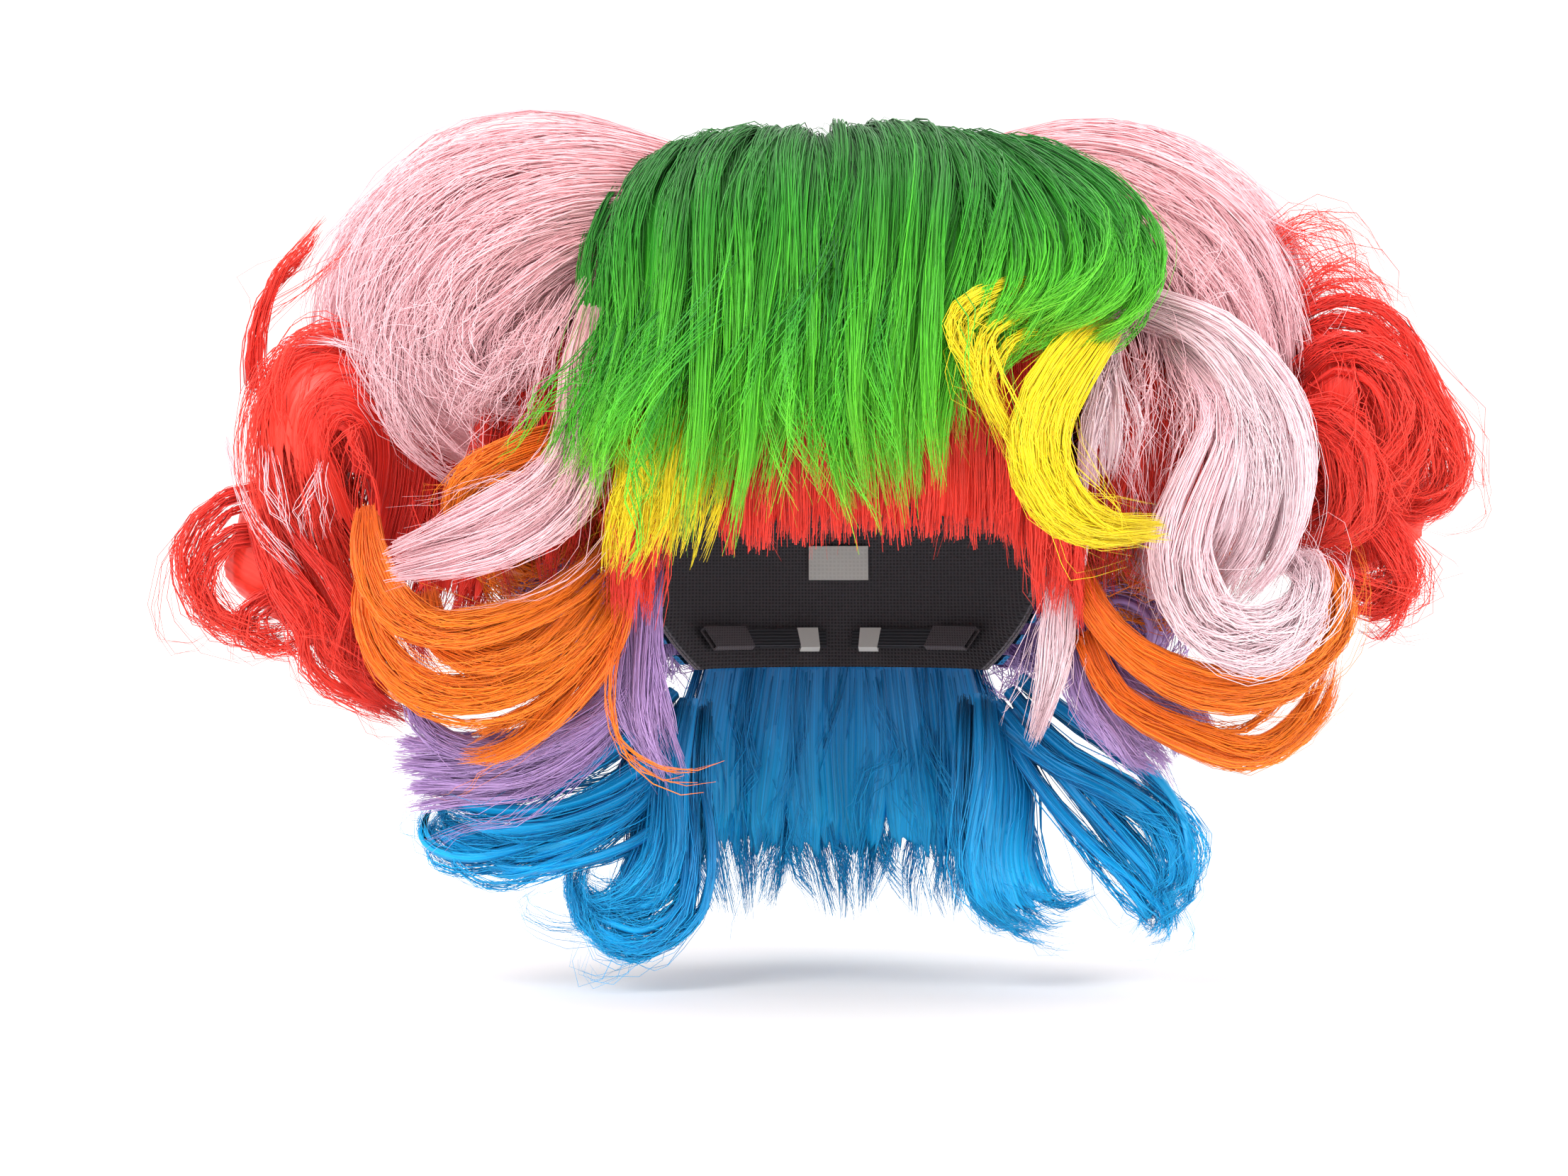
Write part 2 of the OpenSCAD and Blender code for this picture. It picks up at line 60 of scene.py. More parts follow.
MM = 0.001
SLACK = 16  # mm that fibres may reach past the CAD's box
ALONG, ACROSS = 48, 28  # grid of a sheet of hair
TUBE_SIDES = 3
CORE_ROWS = 40
HEAD = np.array([0.0, 0.0, 29.0])  # middle of the head's widest level, in mm
HEAD_R = 78.0
HEAD_LEN = 38.0
rng = np.random.default_rng(284)
ROOM = np.array([np.array(corner) for corner in cad_bounds]) / MM + np.array([[-SLACK], [SLACK]])


# ---- curves and surfaces ----

def smooth(points, count, axis):
    """count points along the smooth curve through points, laid along one axis of the array."""
    p = np.moveaxis(np.asarray(points, float), axis, 0)
    n = len(p)
    if n == 2:
        u = np.linspace(0, 1, count).reshape(-1, *[1] * (p.ndim - 1))
        return np.moveaxis(p[0] * (1 - u) + p[1] * u, 0, axis)
    p = np.concatenate([[2 * p[0] - p[1]], p, [2 * p[-1] - p[-2]]])
    at = np.linspace(0, n - 1, count)
    i = np.minimum(at.astype(int), n - 2)
    f = (at - i).reshape(-1, *[1] * (p.ndim - 1))
    a, b, c, d = p[i], p[i + 1], p[i + 2], p[i + 3]
    out = 0.5 * (2 * b + (c - a) * f + (2 * a - 5 * b + 4 * c - d) * f**2 + (3 * b - a - 3 * c + d) * f**3)
    return np.moveaxis(out, 0, axis)


def unit(v):
    return v / np.maximum(np.linalg.norm(v, axis=-1, keepdims=True), 1e-9)


def spread_out(sizes, count):
    """One size, or sizes at even places, spread smoothly over count places."""
    sizes = [sizes, sizes] if np.ndim(sizes) == 0 else sizes
    return smooth(np.reshape(sizes, (-1, 1)), count, 0)[:, 0]


def ribbon(route, width, facing=(0, -1, 0)):
    """Two edge guides of a ribbon that follows a route, with its broad side towards facing."""
    p = smooth(route, 4 * len(route), 0)
    w = spread_out(width, len(p))[:, None]
    along = unit(np.gradient(p, axis=0))
    across = unit(np.cross(along, np.asarray(facing, float)))
    return np.stack([p - across * w / 2, p, p + across * w / 2])


def lock(route, width, thick, count, facing=(0, -1, 0), **how):
    """One layer of hair along a ribbon."""
    return dict(guides=ribbon(route, width, facing), thick=thick, count=count, **how)


def bundle(route, width, thick, count, parts=3, facing=(0, -1, 0), gap=0.25, stray=0.14, ends=(0.86, 1.0), **how):
    """Layers of a lock that falls apart into narrower strands, each on its own way."""
    p = smooth(route, 3 * len(route), 0)
    w = spread_out(width, len(p))
    along = unit(np.gradient(p, axis=0))
    across = unit(np.cross(along, np.asarray(facing, float)))
    out = unit(np.cross(across, along))
    t = np.linspace(0, 1, len(p))
    layers = []
    for k in range(parts):
        place = (k + 0.5) / parts - 0.5 + rng.uniform(-0.1, 0.1) / parts
        wander = stray * w.max() * np.sin(np.pi * t * rng.uniform(1.0, 2.2)) * rng.choice([-1, 1])
        deep = 0.3 * w.max() / parts * rng.uniform(-1, 1) * np.sin(np.pi * t)
        line = p + across * (place * w + wander)[:, None] + out * deep[:, None]
        far = rng.uniform(*ends)
        layers.append(lock(line, w / parts * (1 - gap) + 1.0, thick, count // parts, facing, clumps=7,
                           ends=(far - 0.1, far), fine=14, **how))
    return layers


class Groom:
    """A sheet of hair: guides from one edge to the other, each from root to tip."""

    def __init__(self, guides, thick):
        self.surf = smooth(smooth(np.asarray(guides, float), ALONG, 1), ACROSS, 0)
        self.thick = spread_out(thick, ALONG)
        across = np.gradient(self.surf, axis=0)
        along = np.gradient(self.surf, axis=1)
        n = unit(np.cross(across, along))
        away = self.surf - HEAD
        if (n * away).sum() < 0:
            n = -n
        self.normal = n
        self.length = np.linalg.norm(np.diff(self.surf, axis=1), axis=2).sum(1).mean()

    def at(self, s, t, d):
        """Points at s across, t along and d out of the sheet, in half thicknesses."""
        ns, nt = self.surf.shape[:2]
        a = np.clip(s, 0, 1) * (ns - 1)
        b = np.clip(t, 0, 1) * (nt - 1)
        i = np.minimum(a.astype(int), ns - 2)
        j = np.minimum(b.astype(int), nt - 2)
        fa, fb = (a - i)[..., None], (b - j)[..., None]

        def mix(grid):
            low = grid[i, j] * (1 - fb) + grid[i, j + 1] * fb
            high = grid[i + 1, j] * (1 - fb) + grid[i + 1, j + 1] * fb
            return low * (1 - fa) + high * fa

        half = np.interp(np.clip(t, 0, 1), np.linspace(0, 1, nt), self.thick)[..., None] / 2
        return mix(self.surf) + mix(self.normal) * d[..., None] * half


def waves(rng, n, m, t, rate):
    """Smooth random offsets (n, m, 3) that start at zero and grow along the strand."""
    out = np.zeros((n, m, 3))
    for k in (1.0, 2.1, 3.7):
        phase = rng.uniform(0, 2 * np.pi, (n, 1, 3))
        amp = rng.normal(0, 1 / k, (n, 1, 3))
        out += amp * (np.sin(2 * np.pi * rate * k * t[..., None] + phase) - np.sin(phase))
    return out * np.minimum(t[..., None] * 1.6, 1)


def strands(groom, count, rng, radius=0.25, clump=0.6, clumps=30, wave=2.0, frizz=0.5, ends=(0.8, 1.0),
            starts=(0.0, 0.06), outer=0.6, step=12.0, taper=0.3, rate=1.2):
    """Centre points, radii, lengthwise places and tones of the strands of a groom."""
    m = int(np.clip(groom.length / step, 8, 26))
    clump_s, clump_d = rng.uniform(0, 1, clumps), rng.uniform(-1, 1, clumps)
    s = rng.uniform(0, 1, count)
    d = np.where(rng.uniform(0, 1, count) < outer, 1 - abs(rng.normal(0, 0.3, count)), rng.uniform(-1, 1, count))
    home = np.argmin(abs(s[:, None] - clump_s) + 0.12 * abs(d[:, None] - clump_d), axis=1)
    t0 = rng.uniform(*starts, (count, 1))
    t1 = rng.uniform(*ends, (count, 1)) + 0.05 * rng.normal(0, 1, (clumps, 1))[home] * (ends[1] - ends[0])
    t = t0 + (np.clip(t1, 0.15, 1.0) - t0) * np.linspace(0, 1, m)
    pull = clump * t**1.3
    ss = s[:, None] + (clump_s[home] - s)[:, None] * pull
    dd = d[:, None] + (clump_d[home] - d)[:, None] * pull * 0.6
    p = groom.at(ss, t, dd)
    p += wave * waves(rng, clumps, m, np.tile(np.linspace(0, 1, m), (clumps, 1)), 0.5 * rate)[home]
    p += frizz * waves(rng, count, m, t, rate) + rng.normal(0, 0.7, (count, 1, 3))
    along = np.linspace(0, 1, m)
    p = np.clip(p, ROOM[0] + rng.uniform(0, 6, (count, 1, 3)), ROOM[1] - rng.uniform(0, 6, (count, 1, 3)))
    r = radius * rng.uniform(0.6, 1.25, (count, 1)) * (1 - (1 - taper) * along**3)
    r *= 0.7 + 0.3 * np.minimum(along * 6, 1)
    tone = rng.uniform(0, 1, count) * 0.5 + rng.uniform(0, 1, clumps)[home] * 0.5
    return p, r, t, tone


def flyaways(groom, count, rng, reach=5.0, radius=0.13, **how):
    """Thin loose strands that leave the surface."""
    return strands(groom, count, rng, radius=radius, clump=0.15, clumps=max(count // 2, 2), wave=reach,
                   frizz=reach * 0.35, outer=1.0, taper=0.3, **how)


# ---- meshes ----

class Build:
    """Collects vertices, faces and map places of one piece."""

    def __init__(self):
        self.v, self.loops, self.sizes, self.uv, self.n = [], [], [], [], 0

    def add(self, verts, quads, uv):
        self.v.append(verts.reshape(-1, 3))
        self.loops.append((quads + self.n).ravel())
        self.sizes.append(np.full(len(quads), quads.shape[1]))
        self.uv.append(uv.reshape(-1, 2))
        self.n += len(self.v[-1])

    def close(self, caps, base, uv):
        self.loops.append((caps + base).ravel())
        self.sizes.append(np.full(len(caps), caps.shape[1]))
        self.uv.append(uv.reshape(-1, 2))

    def tubes(self, p, r, t, tone):
        """Three-sided closed tubes round the centre points."""
        n, m = p.shape[:2]
        along = unit(np.gradient(p, axis=1))
        side = unit(np.cross(along, unit(rng.normal(0, 1, (n, 1, 3)))))
        other = np.cross(along, side)
        angle = np.arange(TUBE_SIDES) * 2 * np.pi / TUBE_SIDES
        ring = side[:, :, None] * np.cos(angle)[:, None] + other[:, :, None] * np.sin(angle)[:, None]
        verts = p[:, :, None] + ring * r[:, :, None, None]
        idx = np.arange(n * m * TUBE_SIDES).reshape(n, m, TUBE_SIDES)
        nxt = np.roll(idx, -1, axis=2)
        quads = np.stack([idx[:, :-1], nxt[:, :-1], nxt[:, 1:], idx[:, 1:]], -1).reshape(-1, 4)
        v = (tone * 0.985)[:, None, None] + np.arange(4) * 0.004
        u = np.broadcast_to(np.clip(t, 0, 1)[:, :, None], (n, m, 4))
        v = np.broadcast_to(v, (n, m, 4))
        uv = np.stack([u, v], -1)
        corner = np.stack([uv[:, :-1, :3], uv[:, :-1, 1:], uv[:, 1:, 1:], uv[:, 1:, :3]], -2)
        self.add(verts, quads, corner)
        caps = np.concatenate([idx[:, 0, ::-1], idx[:, -1]])
        cap_uv = np.concatenate([uv[:, 0, 2::-1], uv[:, -1, :3]])
        cap_uv[:n, 0, 0] += 0.004
        cap_uv[n:, 0, 0] -= 0.004
        self.close(caps, self.n - idx.size, cap_uv)

    def core(self, groom, share, rng, ridges=26, depth=0.3, ends=0.93, sink=0.25, fine=CORE_ROWS):
        """A closed slab under the strands, grooved lengthwise, so that nothing shows through."""
        ns, nt = fine, CORE_ROWS
        s = np.linspace(0.02, 0.98, ns)[:, None] * np.ones(nt)
        edge = np.minimum(1, 4.5 * np.minimum(s, 1 - s)) ** 0.5
        ragged = 1 - 0.12 * rng.uniform(0, 1, (ns, 1))
        t = np.linspace(0.01, 1, nt) * ends * ragged
        tail = np.minimum(1, (ends * ragged - t) * 9 + 0.04)
        groove = 1 - depth * abs(np.sin(s * np.pi * ridges + rng.uniform(0, 3)))
        d = share * edge * tail * groove
        top = groom.at(s, t, d - sink)
        low = groom.at(s, t, -d - sink)
        grid = np.concatenate([top, low[::-1]], 0)
        idx = np.arange(2 * ns * nt).reshape(2 * ns, nt)
        nxt = np.roll(idx, -1, axis=0)
        quads = np.stack([idx[:, :-1], nxt[:, :-1], nxt[:, 1:], idx[:, 1:]], -1).reshape(-1, 4)
        v = np.concatenate([s * 0.98, s[::-1] * 0.98 + 0.008])
        uv = np.stack([np.concatenate([t, t[::-1]]), v], -1)
        over = np.roll(uv, -1, axis=0)
        corner = np.stack([uv[:, :-1], over[:, :-1], over[:, 1:], uv[:, 1:]], -2)
        self.add(grid, quads, corner)
        half = np.arange(ns - 1)
        for col, flip in ((0, False), (nt - 1, True)):
            a, b = idx[half, col], idx[half + 1, col]
            c, e = idx[2 * ns - 2 - half, col], idx[2 * ns - 1 - half, col]
            caps = np.stack([e, c, b, a] if flip else [a, b, c, e], -1)
            flat = uv.reshape(-1, 2)[caps]
            flat[:, 2:, 0] += -0.006 if col else 0.006
            self.close(caps, self.n - grid.size // 3, flat)

    def mesh(self, name, material):
        me = bpy.data.meshes.new(name)
        v = np.concatenate(self.v) * MM
        loops = np.concatenate(self.loops).astype(np.int32)
        sizes = np.concatenate(self.sizes).astype(np.int32)
        me.vertices.add(len(v))
        me.vertices.foreach_set("co", v.astype(np.float32).ravel())
        me.loops.add(len(loops))
        me.loops.foreach_set("vertex_index", loops)
        me.polygons.add(len(sizes))
        me.polygons.foreach_set("loop_start", np.concatenate([[0], np.cumsum(sizes)[:-1]]).astype(np.int32))
        me.polygons.foreach_set("loop_total", sizes)
        me.update(calc_edges=True)
        me.uv_layers.new(name="OFBake")
        me.uv_layers["OFBake"].uv.foreach_set("vector", np.concatenate(self.uv).astype(np.float32).ravel())
        me.polygons.foreach_set("use_smooth", np.ones(len(sizes), bool))
        me.materials.append(material)
        ob = bpy.data.objects.new(name, me)
        bpy.context.scene.collection.objects.link(ob)
        return ob


# ---- materials ----

def principled(name):
    mat = bpy.data.materials.new(name)
    mat.use_nodes = True
    return mat, mat.node_tree, mat.node_tree.nodes["Principled BSDF"]


REACH = 1.2  # the ramp's end: a strand's tip plus its own drift


def hair_material(name, stops, spread=0.35, rough=0.40, sheen=0.06):
    """Colour runs from root to tip along the map's u, and each strand's v gives its own tone."""
    mat, nt, bsdf = principled(name)
    add, link = nt.nodes.new, nt.links.new
    uv = add("ShaderNodeUVMap")
    uv.uv_map = "OFBake"
    split = add("ShaderNodeSeparateXYZ")
    link(uv.outputs[0], split.inputs[0])
    drift = add("ShaderNodeTexNoise")
    drift.noise_dimensions = "1D"
    drift.inputs["Scale"].default_value = 37.0
    drift.inputs["Detail"].default_value = 1.0
    link(split.outputs["Y"], drift.inputs["W"])
    shift = add("ShaderNodeMath")
    shift.operation = "MULTIPLY_ADD"
    link(drift.outputs["Fac"], shift.inputs[0])
    shift.inputs[1].default_value = 0.24
    link(split.outputs["X"], shift.inputs[2])
    ramp = add("ShaderNodeValToRGB")
    el = ramp.color_ramp.elements
    el[0].position, el[0].color = stops[0][0] / REACH, (*stops[0][1], 1)
    el[1].position, el[1].color = stops[-1][0] / REACH, (*stops[-1][1], 1)
    for pos, col in stops[1:-1]:
        e = el.new(pos / REACH)
        e.color = (*col, 1)
    fit = add("ShaderNodeMath")
    fit.operation = "DIVIDE"
    fit.inputs[1].default_value = REACH
    link(shift.outputs[0], fit.inputs[0])
    link(fit.outputs[0], ramp.inputs["Fac"])
    tone = add("ShaderNodeTexNoise")
    tone.noise_dimensions = "1D"
    tone.inputs["Scale"].default_value = 90.0
    tone.inputs["Detail"].default_value = 2.0
    link(split.outputs["Y"], tone.inputs["W"])
    value = add("ShaderNodeMapRange")
    value.inputs["From Min"].default_value = 0.3
    value.inputs["From Max"].default_value = 0.7
    value.inputs["To Min"].default_value = 1 - spread
    value.inputs["To Max"].default_value = 1 + spread * 0.6
    link(tone.outputs["Fac"], value.inputs["Value"])
    hsv = add("ShaderNodeHueSaturation")
    link(ramp.outputs["Color"], hsv.inputs["Color"])
    link(value.outputs["Result"], hsv.inputs["Value"])
    link(hsv.outputs["Color"], bsdf.inputs["Base Color"])
    bsdf.inputs["Roughness"].default_value = rough
    bsdf.inputs["Sheen Weight"].default_value = sheen
    bsdf.inputs["Sheen Roughness"].default_value = 0.4
    bsdf.inputs["Specular IOR Level"].default_value = 0.38
    return mat


GREEN = hair_material("hair_green", [
    (0.0, (0.008, 0.10, 0.010)), (0.42, (0.014, 0.20, 0.014)), (0.60, (0.030, 0.33, 0.016)),
    (0.82, (0.10, 0.60, 0.02)), (1.0, (0.17, 0.68, 0.025)), (1.2, (0.36, 0.58, 0.02))], spread=0.36)
YELLOW = hair_material("hair_yellow", [
    (0.0, (0.80, 0.55, 0.01)), (0.35, (1.0, 0.80, 0.01)), (1.2, (1.0, 0.76, 0.01))], spread=0.16)
RED = hair_material("hair_red", [
    (0.0, (0.50, 0.014, 0.015)), (0.30, (0.92, 0.04, 0.025)), (0.8, (1.0, 0.06, 0.035)), (1.2, (0.96, 0.045, 0.028))],
    spread=0.2)
PUFF = hair_material("hair_pink", [
    (0.0, (0.96, 0.46, 0.49)), (0.4, (1.0, 0.56, 0.60)), (0.8, (1.0, 0.62, 0.67)), (1.2, (1.0, 0.53, 0.58))],
    spread=0.10, sheen=0.16)
# also the colour of the painted highlight fibres on the left red curl
PALE = hair_material("hair_pale_pink", [
    (0.0, (0.98, 0.56, 0.62)), (0.4, (1.0, 0.70, 0.75)), (0.8, (1.0, 0.78, 0.83)), (1.2, (1.0, 0.66, 0.72))],
    spread=0.10, sheen=0.12)
ORANGE = hair_material("hair_orange", [
    (0.0, (0.80, 0.10, 0.01)), (0.35, (1.0, 0.20, 0.01)), (0.8, (1.0, 0.25, 0.012)), (1.2, (1.0, 0.20, 0.01))],
    spread=0.2)
LILAC = hair_material("hair_lilac", [
    (0.0, (0.30, 0.16, 0.42)), (0.4, (0.48, 0.29, 0.62)), (0.8, (0.60, 0.39, 0.74)), (1.2, (0.54, 0.33, 0.68))],
    spread=0.22)
BLUE = hair_material("hair_blue", [
    (0.0, (0.002, 0.10, 0.30)), (0.35, (0.003, 0.26, 0.60)), (0.8, (0.005, 0.45, 0.86)), (1.2, (0.004, 0.38, 0.78))],
    spread=0.25)
# teased fibre in dark brown: painted shade, for the shadow seen through the thin parts of the bouffants
TEASED_SHADE = hair_material("hair_teased_shade", [
    (0.0, (0.34, 0.10, 0.07)), (0.6, (0.50, 0.20, 0.15)), (1.2, (0.62, 0.32, 0.26))], spread=0.4)


# ---- hair pieces ----

def hair(name, material, layers, body="cap", nodes=None, root=None, core_of=None):
    """One piece of hair from layers of strands. Given root, the piece is left in place, not attached to its body; the
    two places in root are not used.
    """
    build = Build()
    if core_of:
        solid_core(build, *core_of)
    for layer in layers:
        how = dict(layer)
        groom = Groom(how.pop("guides"), how.pop("thick", 8.0))
        core = how.pop("core", 0.62)
        loose = how.pop("loose", 0.06)
        reach = how.pop("reach", 4.5)
        fine = how.pop("fine", CORE_ROWS)
        ends = how.get("ends", (0.8, 1.0))
        if core:
            build.core(groom, core, rng, ends=ends[0] + 0.06, fine=fine)
        count = how.pop("count")
        build.tubes(*strands(groom, count, rng, **how))
        if loose:
            build.tubes(*flyaways(groom, max(int(count * loose), 3), rng, reach, starts=(0.0, 0.35), ends=ends))
    piece = build.mesh(name, material)
    if root is None:
        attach(piece, body)
    else:
        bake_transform(piece)
    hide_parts(*(nodes or [name]))
    return piece


def beads(route):
    """Many [x, y, z, radius] places along the chain that a lock's solid is made of."""
    route = np.asarray(route, float)
    t = np.linspace(0, len(route) - 1, 60)
    return np.stack([np.interp(t, np.arange(len(route)), route[:, k]) for k in range(4)], -1)


def comb(lines, route, side, lift=1.0):
    """Guides from front-view lines (x, z), laid on the near (side -1) or far (side 1) face of a chain of beads."""
    chain = beads(route)
    out = []
    for line in lines:
        p = smooth(np.asarray(line, float), 18, 0)
        d = np.linalg.norm(p[:, None] - chain[None, :, [0, 2]], axis=2)
        deep = np.sqrt(np.maximum(chain[:, 3] ** 2 - d**2, 0))
        y = chain[:, 1] + side * deep
        best = np.where(deep > 0, side * y, -1e3 - (d - chain[:, 3]))
        y = np.take_along_axis(y, best.argmax(1)[:, None], 1)[:, 0]
        y = np.convolve(np.pad(y, 2, "edge"), np.ones(5) / 5, "valid") + side * lift
        out.append(np.stack([p[:, 0], y, p[:, 1]], -1))
    return np.array(out)


def remeshed(name, voxel=0.004, relax=3, inset=2.0):
    """Vertices in mm, normals and quads of a node's own shape, smoothed and drawn in a little."""
    copy = bpy.data.objects.new(name + "_shape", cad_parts[name].data.copy())
    bpy.context.scene.collection.objects.link(copy)
    mod = copy.modifiers.new("remesh", "REMESH")
    mod.mode = "VOXEL"
    mod.voxel_size = voxel
    shape = bpy.data.meshes.new_from_object(copy.evaluated_get(bpy.context.evaluated_depsgraph_get()))
    bpy.data.objects.remove(copy)
    n = len(shape.vertices)
    co, edges = np.zeros(n * 3), np.zeros(len(shape.edges) * 2, int)
    shape.vertices.foreach_get("co", co)
    shape.edges.foreach_get("vertices", edges)
    co, edges = co.reshape(-1, 3) / MM, edges.reshape(-1, 2)
    near = np.bincount(edges.ravel(), minlength=n)[:, None]
    for _ in range(relax):
        total = np.zeros_like(co)
        np.add.at(total, edges[:, 0], co[edges[:, 1]])
        np.add.at(total, edges[:, 1], co[edges[:, 0]])
        co = total / np.maximum(near, 1)
    shape.vertices.foreach_set("co", (co * MM).ravel())
    shape.update()
    no = np.zeros(n * 3)
    shape.vertex_normals.foreach_get("vector", no)
    no = no.reshape(-1, 3)
    quads = np.array([list(q.vertices) if len(q.vertices) == 4 else [*q.vertices, q.vertices[-1]]
                      for q in shape.polygons])
    bpy.data.meshes.remove(shape)
    return co - no * inset, no, quads


def solid_core(build, name, eye, inset=2.5):
    """The node's own shape under the strands, streaked in rings round eye (x, z)."""
    co, no, quads = remeshed(name, inset=inset)
    away = co[:, [0, 2]] - np.asarray(eye, float)
    far = np.linalg.norm(away, axis=1)
    v = 0.02 + 0.9 * (far / far.max())
    u = 0.25 + 0.6 * abs(np.arctan2(away[:, 0], away[:, 1])) / np.pi
    groove = np.sin(far * 2.4) + 0.6 * np.sin(far * 5.3 + co[:, 1] * 0.1)
    corner = np.stack([u, v], -1)[quads]
    corner[:, 2:] += 0.003
    build.add(co - no * (0.5 - 0.4 * groove[:, None]), quads, corner)


# the same places as in the part's source
PUFF_LEFT = [(-56, 14, 148, 20), (-100, 4, 138, 34), (-138, 0, 116, 44), (-142, 0, 92, 42), (-130, 4, 66, 26)]
PUFF_RIGHT = [(56, 14, 148, 20), (92, 4, 142, 32), (126, 0, 118, 36), (136, 0, 78, 28), (132, 0, 34, 22),
              (122, -4, 6, 14)]
CURL_LEFT = [(-168, 8, 88, 12), (-193, -4, 72, 28), (-205, -6, 42, 26), (-222, -4, 12, 21), (-198, 0, -10, 18),
             (-174, 2, -32, 13)]
CURL_RIGHT = [(162, 8, 96, 10), (188, 0, 84, 20), (204, -4, 56, 24), (208, -4, 28, 20), (188, -2, 10, 14)]

# green fringe
hair("green_left", GREEN, [
    dict(guides=[
        [(-11, 4, 155), (-10, -34, 165), (-8, -78, 146), (-8, -109, 104), (-13, -118, 62), (-20, -118, 34)],
        [(-22, 4, 156), (-26, -30, 167), (-32, -76, 146), (-34, -106, 104), (-38, -115, 62), (-44, -112, 25)],
        [(-30, 4, 155), (-44, -24, 166), (-56, -68, 142), (-58, -97, 104), (-62, -106, 66), (-70, -102, 38)],
        [(-38, 4, 152), (-62, -16, 161), (-76, -54, 136), (-78, -78, 98), (-83, -88, 66), (-93, -84, 42)],
        [(-44, 6, 148), (-74, -8, 152), (-85, -40, 124), (-88, -62, 90), (-95, -71, 60), (-107, -72, 38)],
    ], thick=[10, 14, 13, 10, 8, 5], count=1900, clumps=96, clump=0.5, wave=3.6, frizz=0.7, ends=(0.74, 1.0),
         step=14.0),
    dict(guides=[
        [(-16, -78, 148), (-18, -110, 106), (-34, -122, 66), (-38, -119, 30)],
        [(-40, -72, 146), (-46, -104, 104), (-66, -112, 62), (-72, -106, 26)],
        [(-64, -60, 138), (-72, -84, 100), (-90, -92, 64), (-98, -84, 36)],
        [(-78, -40, 128), (-86, -62, 96), (-100, -76, 62), (-116, -80, 42)],
    ], thick=[6, 8, 8, 4], count=300, clumps=34, clump=0.6, wave=5.0, frizz=1.0, starts=(0.0, 0.4),
         ends=(0.7, 1.0), core=0, loose=0.2),
])
hair("green_right", GREEN, [
    dict(guides=[
        [(-13, 4, 155), (-12, -34, 165), (-8, -79, 147), (-12, -110, 104), (-14, -119, 66), (-8, -119, 34)],
        [(2, 4, 156), (8, -34, 168), (12, -78, 148), (8, -110, 104), (4, -119, 64), (8, -118, 28)],
        [(10, 4, 157), (22, -30, 168), (28, -76, 148), (24, -108, 106), (20, -116, 66), (24, -115, 34)],
        [(18, 4, 158), (38, -26, 166), (50, -68, 148), (48, -100, 108), (42, -111, 78), (40, -112, 54)],
    ], thick=[10, 14, 13, 10, 8, 5], count=1500, clumps=70, clump=0.5, wave=3.4, frizz=0.7, ends=(0.76, 1.0),
         step=14.0),
    dict(guides=[
        [(-8, -78, 148), (-16, -110, 108), (-26, -121, 70), (-16, -121, 32)],
        [(14, -76, 150), (6, -108, 108), (-6, -122, 66), (6, -121, 26)],
        [(36, -68, 150), (34, -100, 112), (24, -118, 78), (32, -117, 44)],
    ], thick=[6, 8, 8, 4], count=200, clumps=26, clump=0.6, wave=5.0, frizz=1.0, starts=(0.0, 0.4),
         ends=(0.7, 1.0), core=0, loose=0.2),
])
hair("green_sweep", GREEN, [
    dict(guides=[
        [(12, 4, 158), (28, -26, 167), (40, -62, 152), (46, -88, 130), (47, -102, 112), (45, -109, 100),
         (42, -112, 86)],
        [(26, 4, 159), (46, -24, 166), (62, -56, 152), (72, -80, 130), (72, -95, 112), (64, -104, 100),
         (54, -109, 92)],
        [(34, 4, 158), (56, -20, 165), (76, -48, 151), (90, -72, 130), (92, -88, 112), (82, -99, 99),
         (66, -106, 91)],
        [(42, 6, 158), (66, -12, 166), (92, -36, 151), (108, -58, 133), (111, -78, 114), (99, -92, 99),
         (76, -101, 89)],
    ], thick=[10, 13, 12, 11, 9, 7, 4], count=1500, clumps=60, clump=0.45, wave=2.8, frizz=0.6, ends=(0.8, 1.0),
         step=13.0),
])

# yellow
hair("yellow_strands", YELLOW, [
    lock([(88, -78, 104), (62, -98, 109), (42, -114, 99), (39, -120, 85), (48, -120, 68), (57, -117, 50)],
         [6, 8, 9, 9, 8, 4], [4, 5, 5, 4, 3], 80, clumps=8, core=0, wave=1.2),
    lock([(86, -80, 98), (62, -100, 100), (47, -115, 92), (44, -120, 79), (52, -118, 62), (62, -113, 44)],
         [4, 6, 7, 7, 6, 3], 4, 48, clumps=6, core=0, wave=1.2),
    lock([(82, -82, 92), (64, -102, 92), (54, -113, 86), (50, -118, 74), (56, -116, 58)], [3, 5, 5, 5, 3], 4, 34,
         clumps=5, core=0, wave=1.2),
])
hair("yellow_lock", YELLOW, [
    lock([(92, -86, 97), (81, -99, 86), (68, -112, 66), (65, -118, 47), (72, -119, 31), (86, -115, 23),
         (108, -107, 24)], [10, 16, 18, 17, 14, 10, 5], [6, 9, 10, 10, 9, 7, 4], 850, clumps=25, clump=0.33,
         wave=1.0, frizz=0.3, ends=(0.88, 1.0)),
], body="yellow_hang", root=((0.08, -0.092, 0.094), (0.071, -0.104, 0.08)))
hair("yellow_under", YELLOW, [
    dict(guides=[
        [(-44, -98, 72), (-48, -106, 44), (-54, -102, 12)],
        [(-58, -92, 72), (-63, -98, 44), (-70, -96, 12)],
        [(-78, -76, 62), (-82, -80, 36), (-90, -76, 8)],
    ], thick=[8, 8, 5], count=620, clumps=36, clump=0.47, wave=1.6, core=0.4, ends=(0.66, 1.0)),
])


# red fringe and sides
BROW_Y, BROW_R, BROW_HALF_W = -21, 84, 80  # the round that the fringe hangs along


def fringe_line(x, z, out=0.0):
    return (x, BROW_Y - out - np.sqrt(BROW_R**2 - min(abs(x), BROW_HALF_W) ** 2), z)


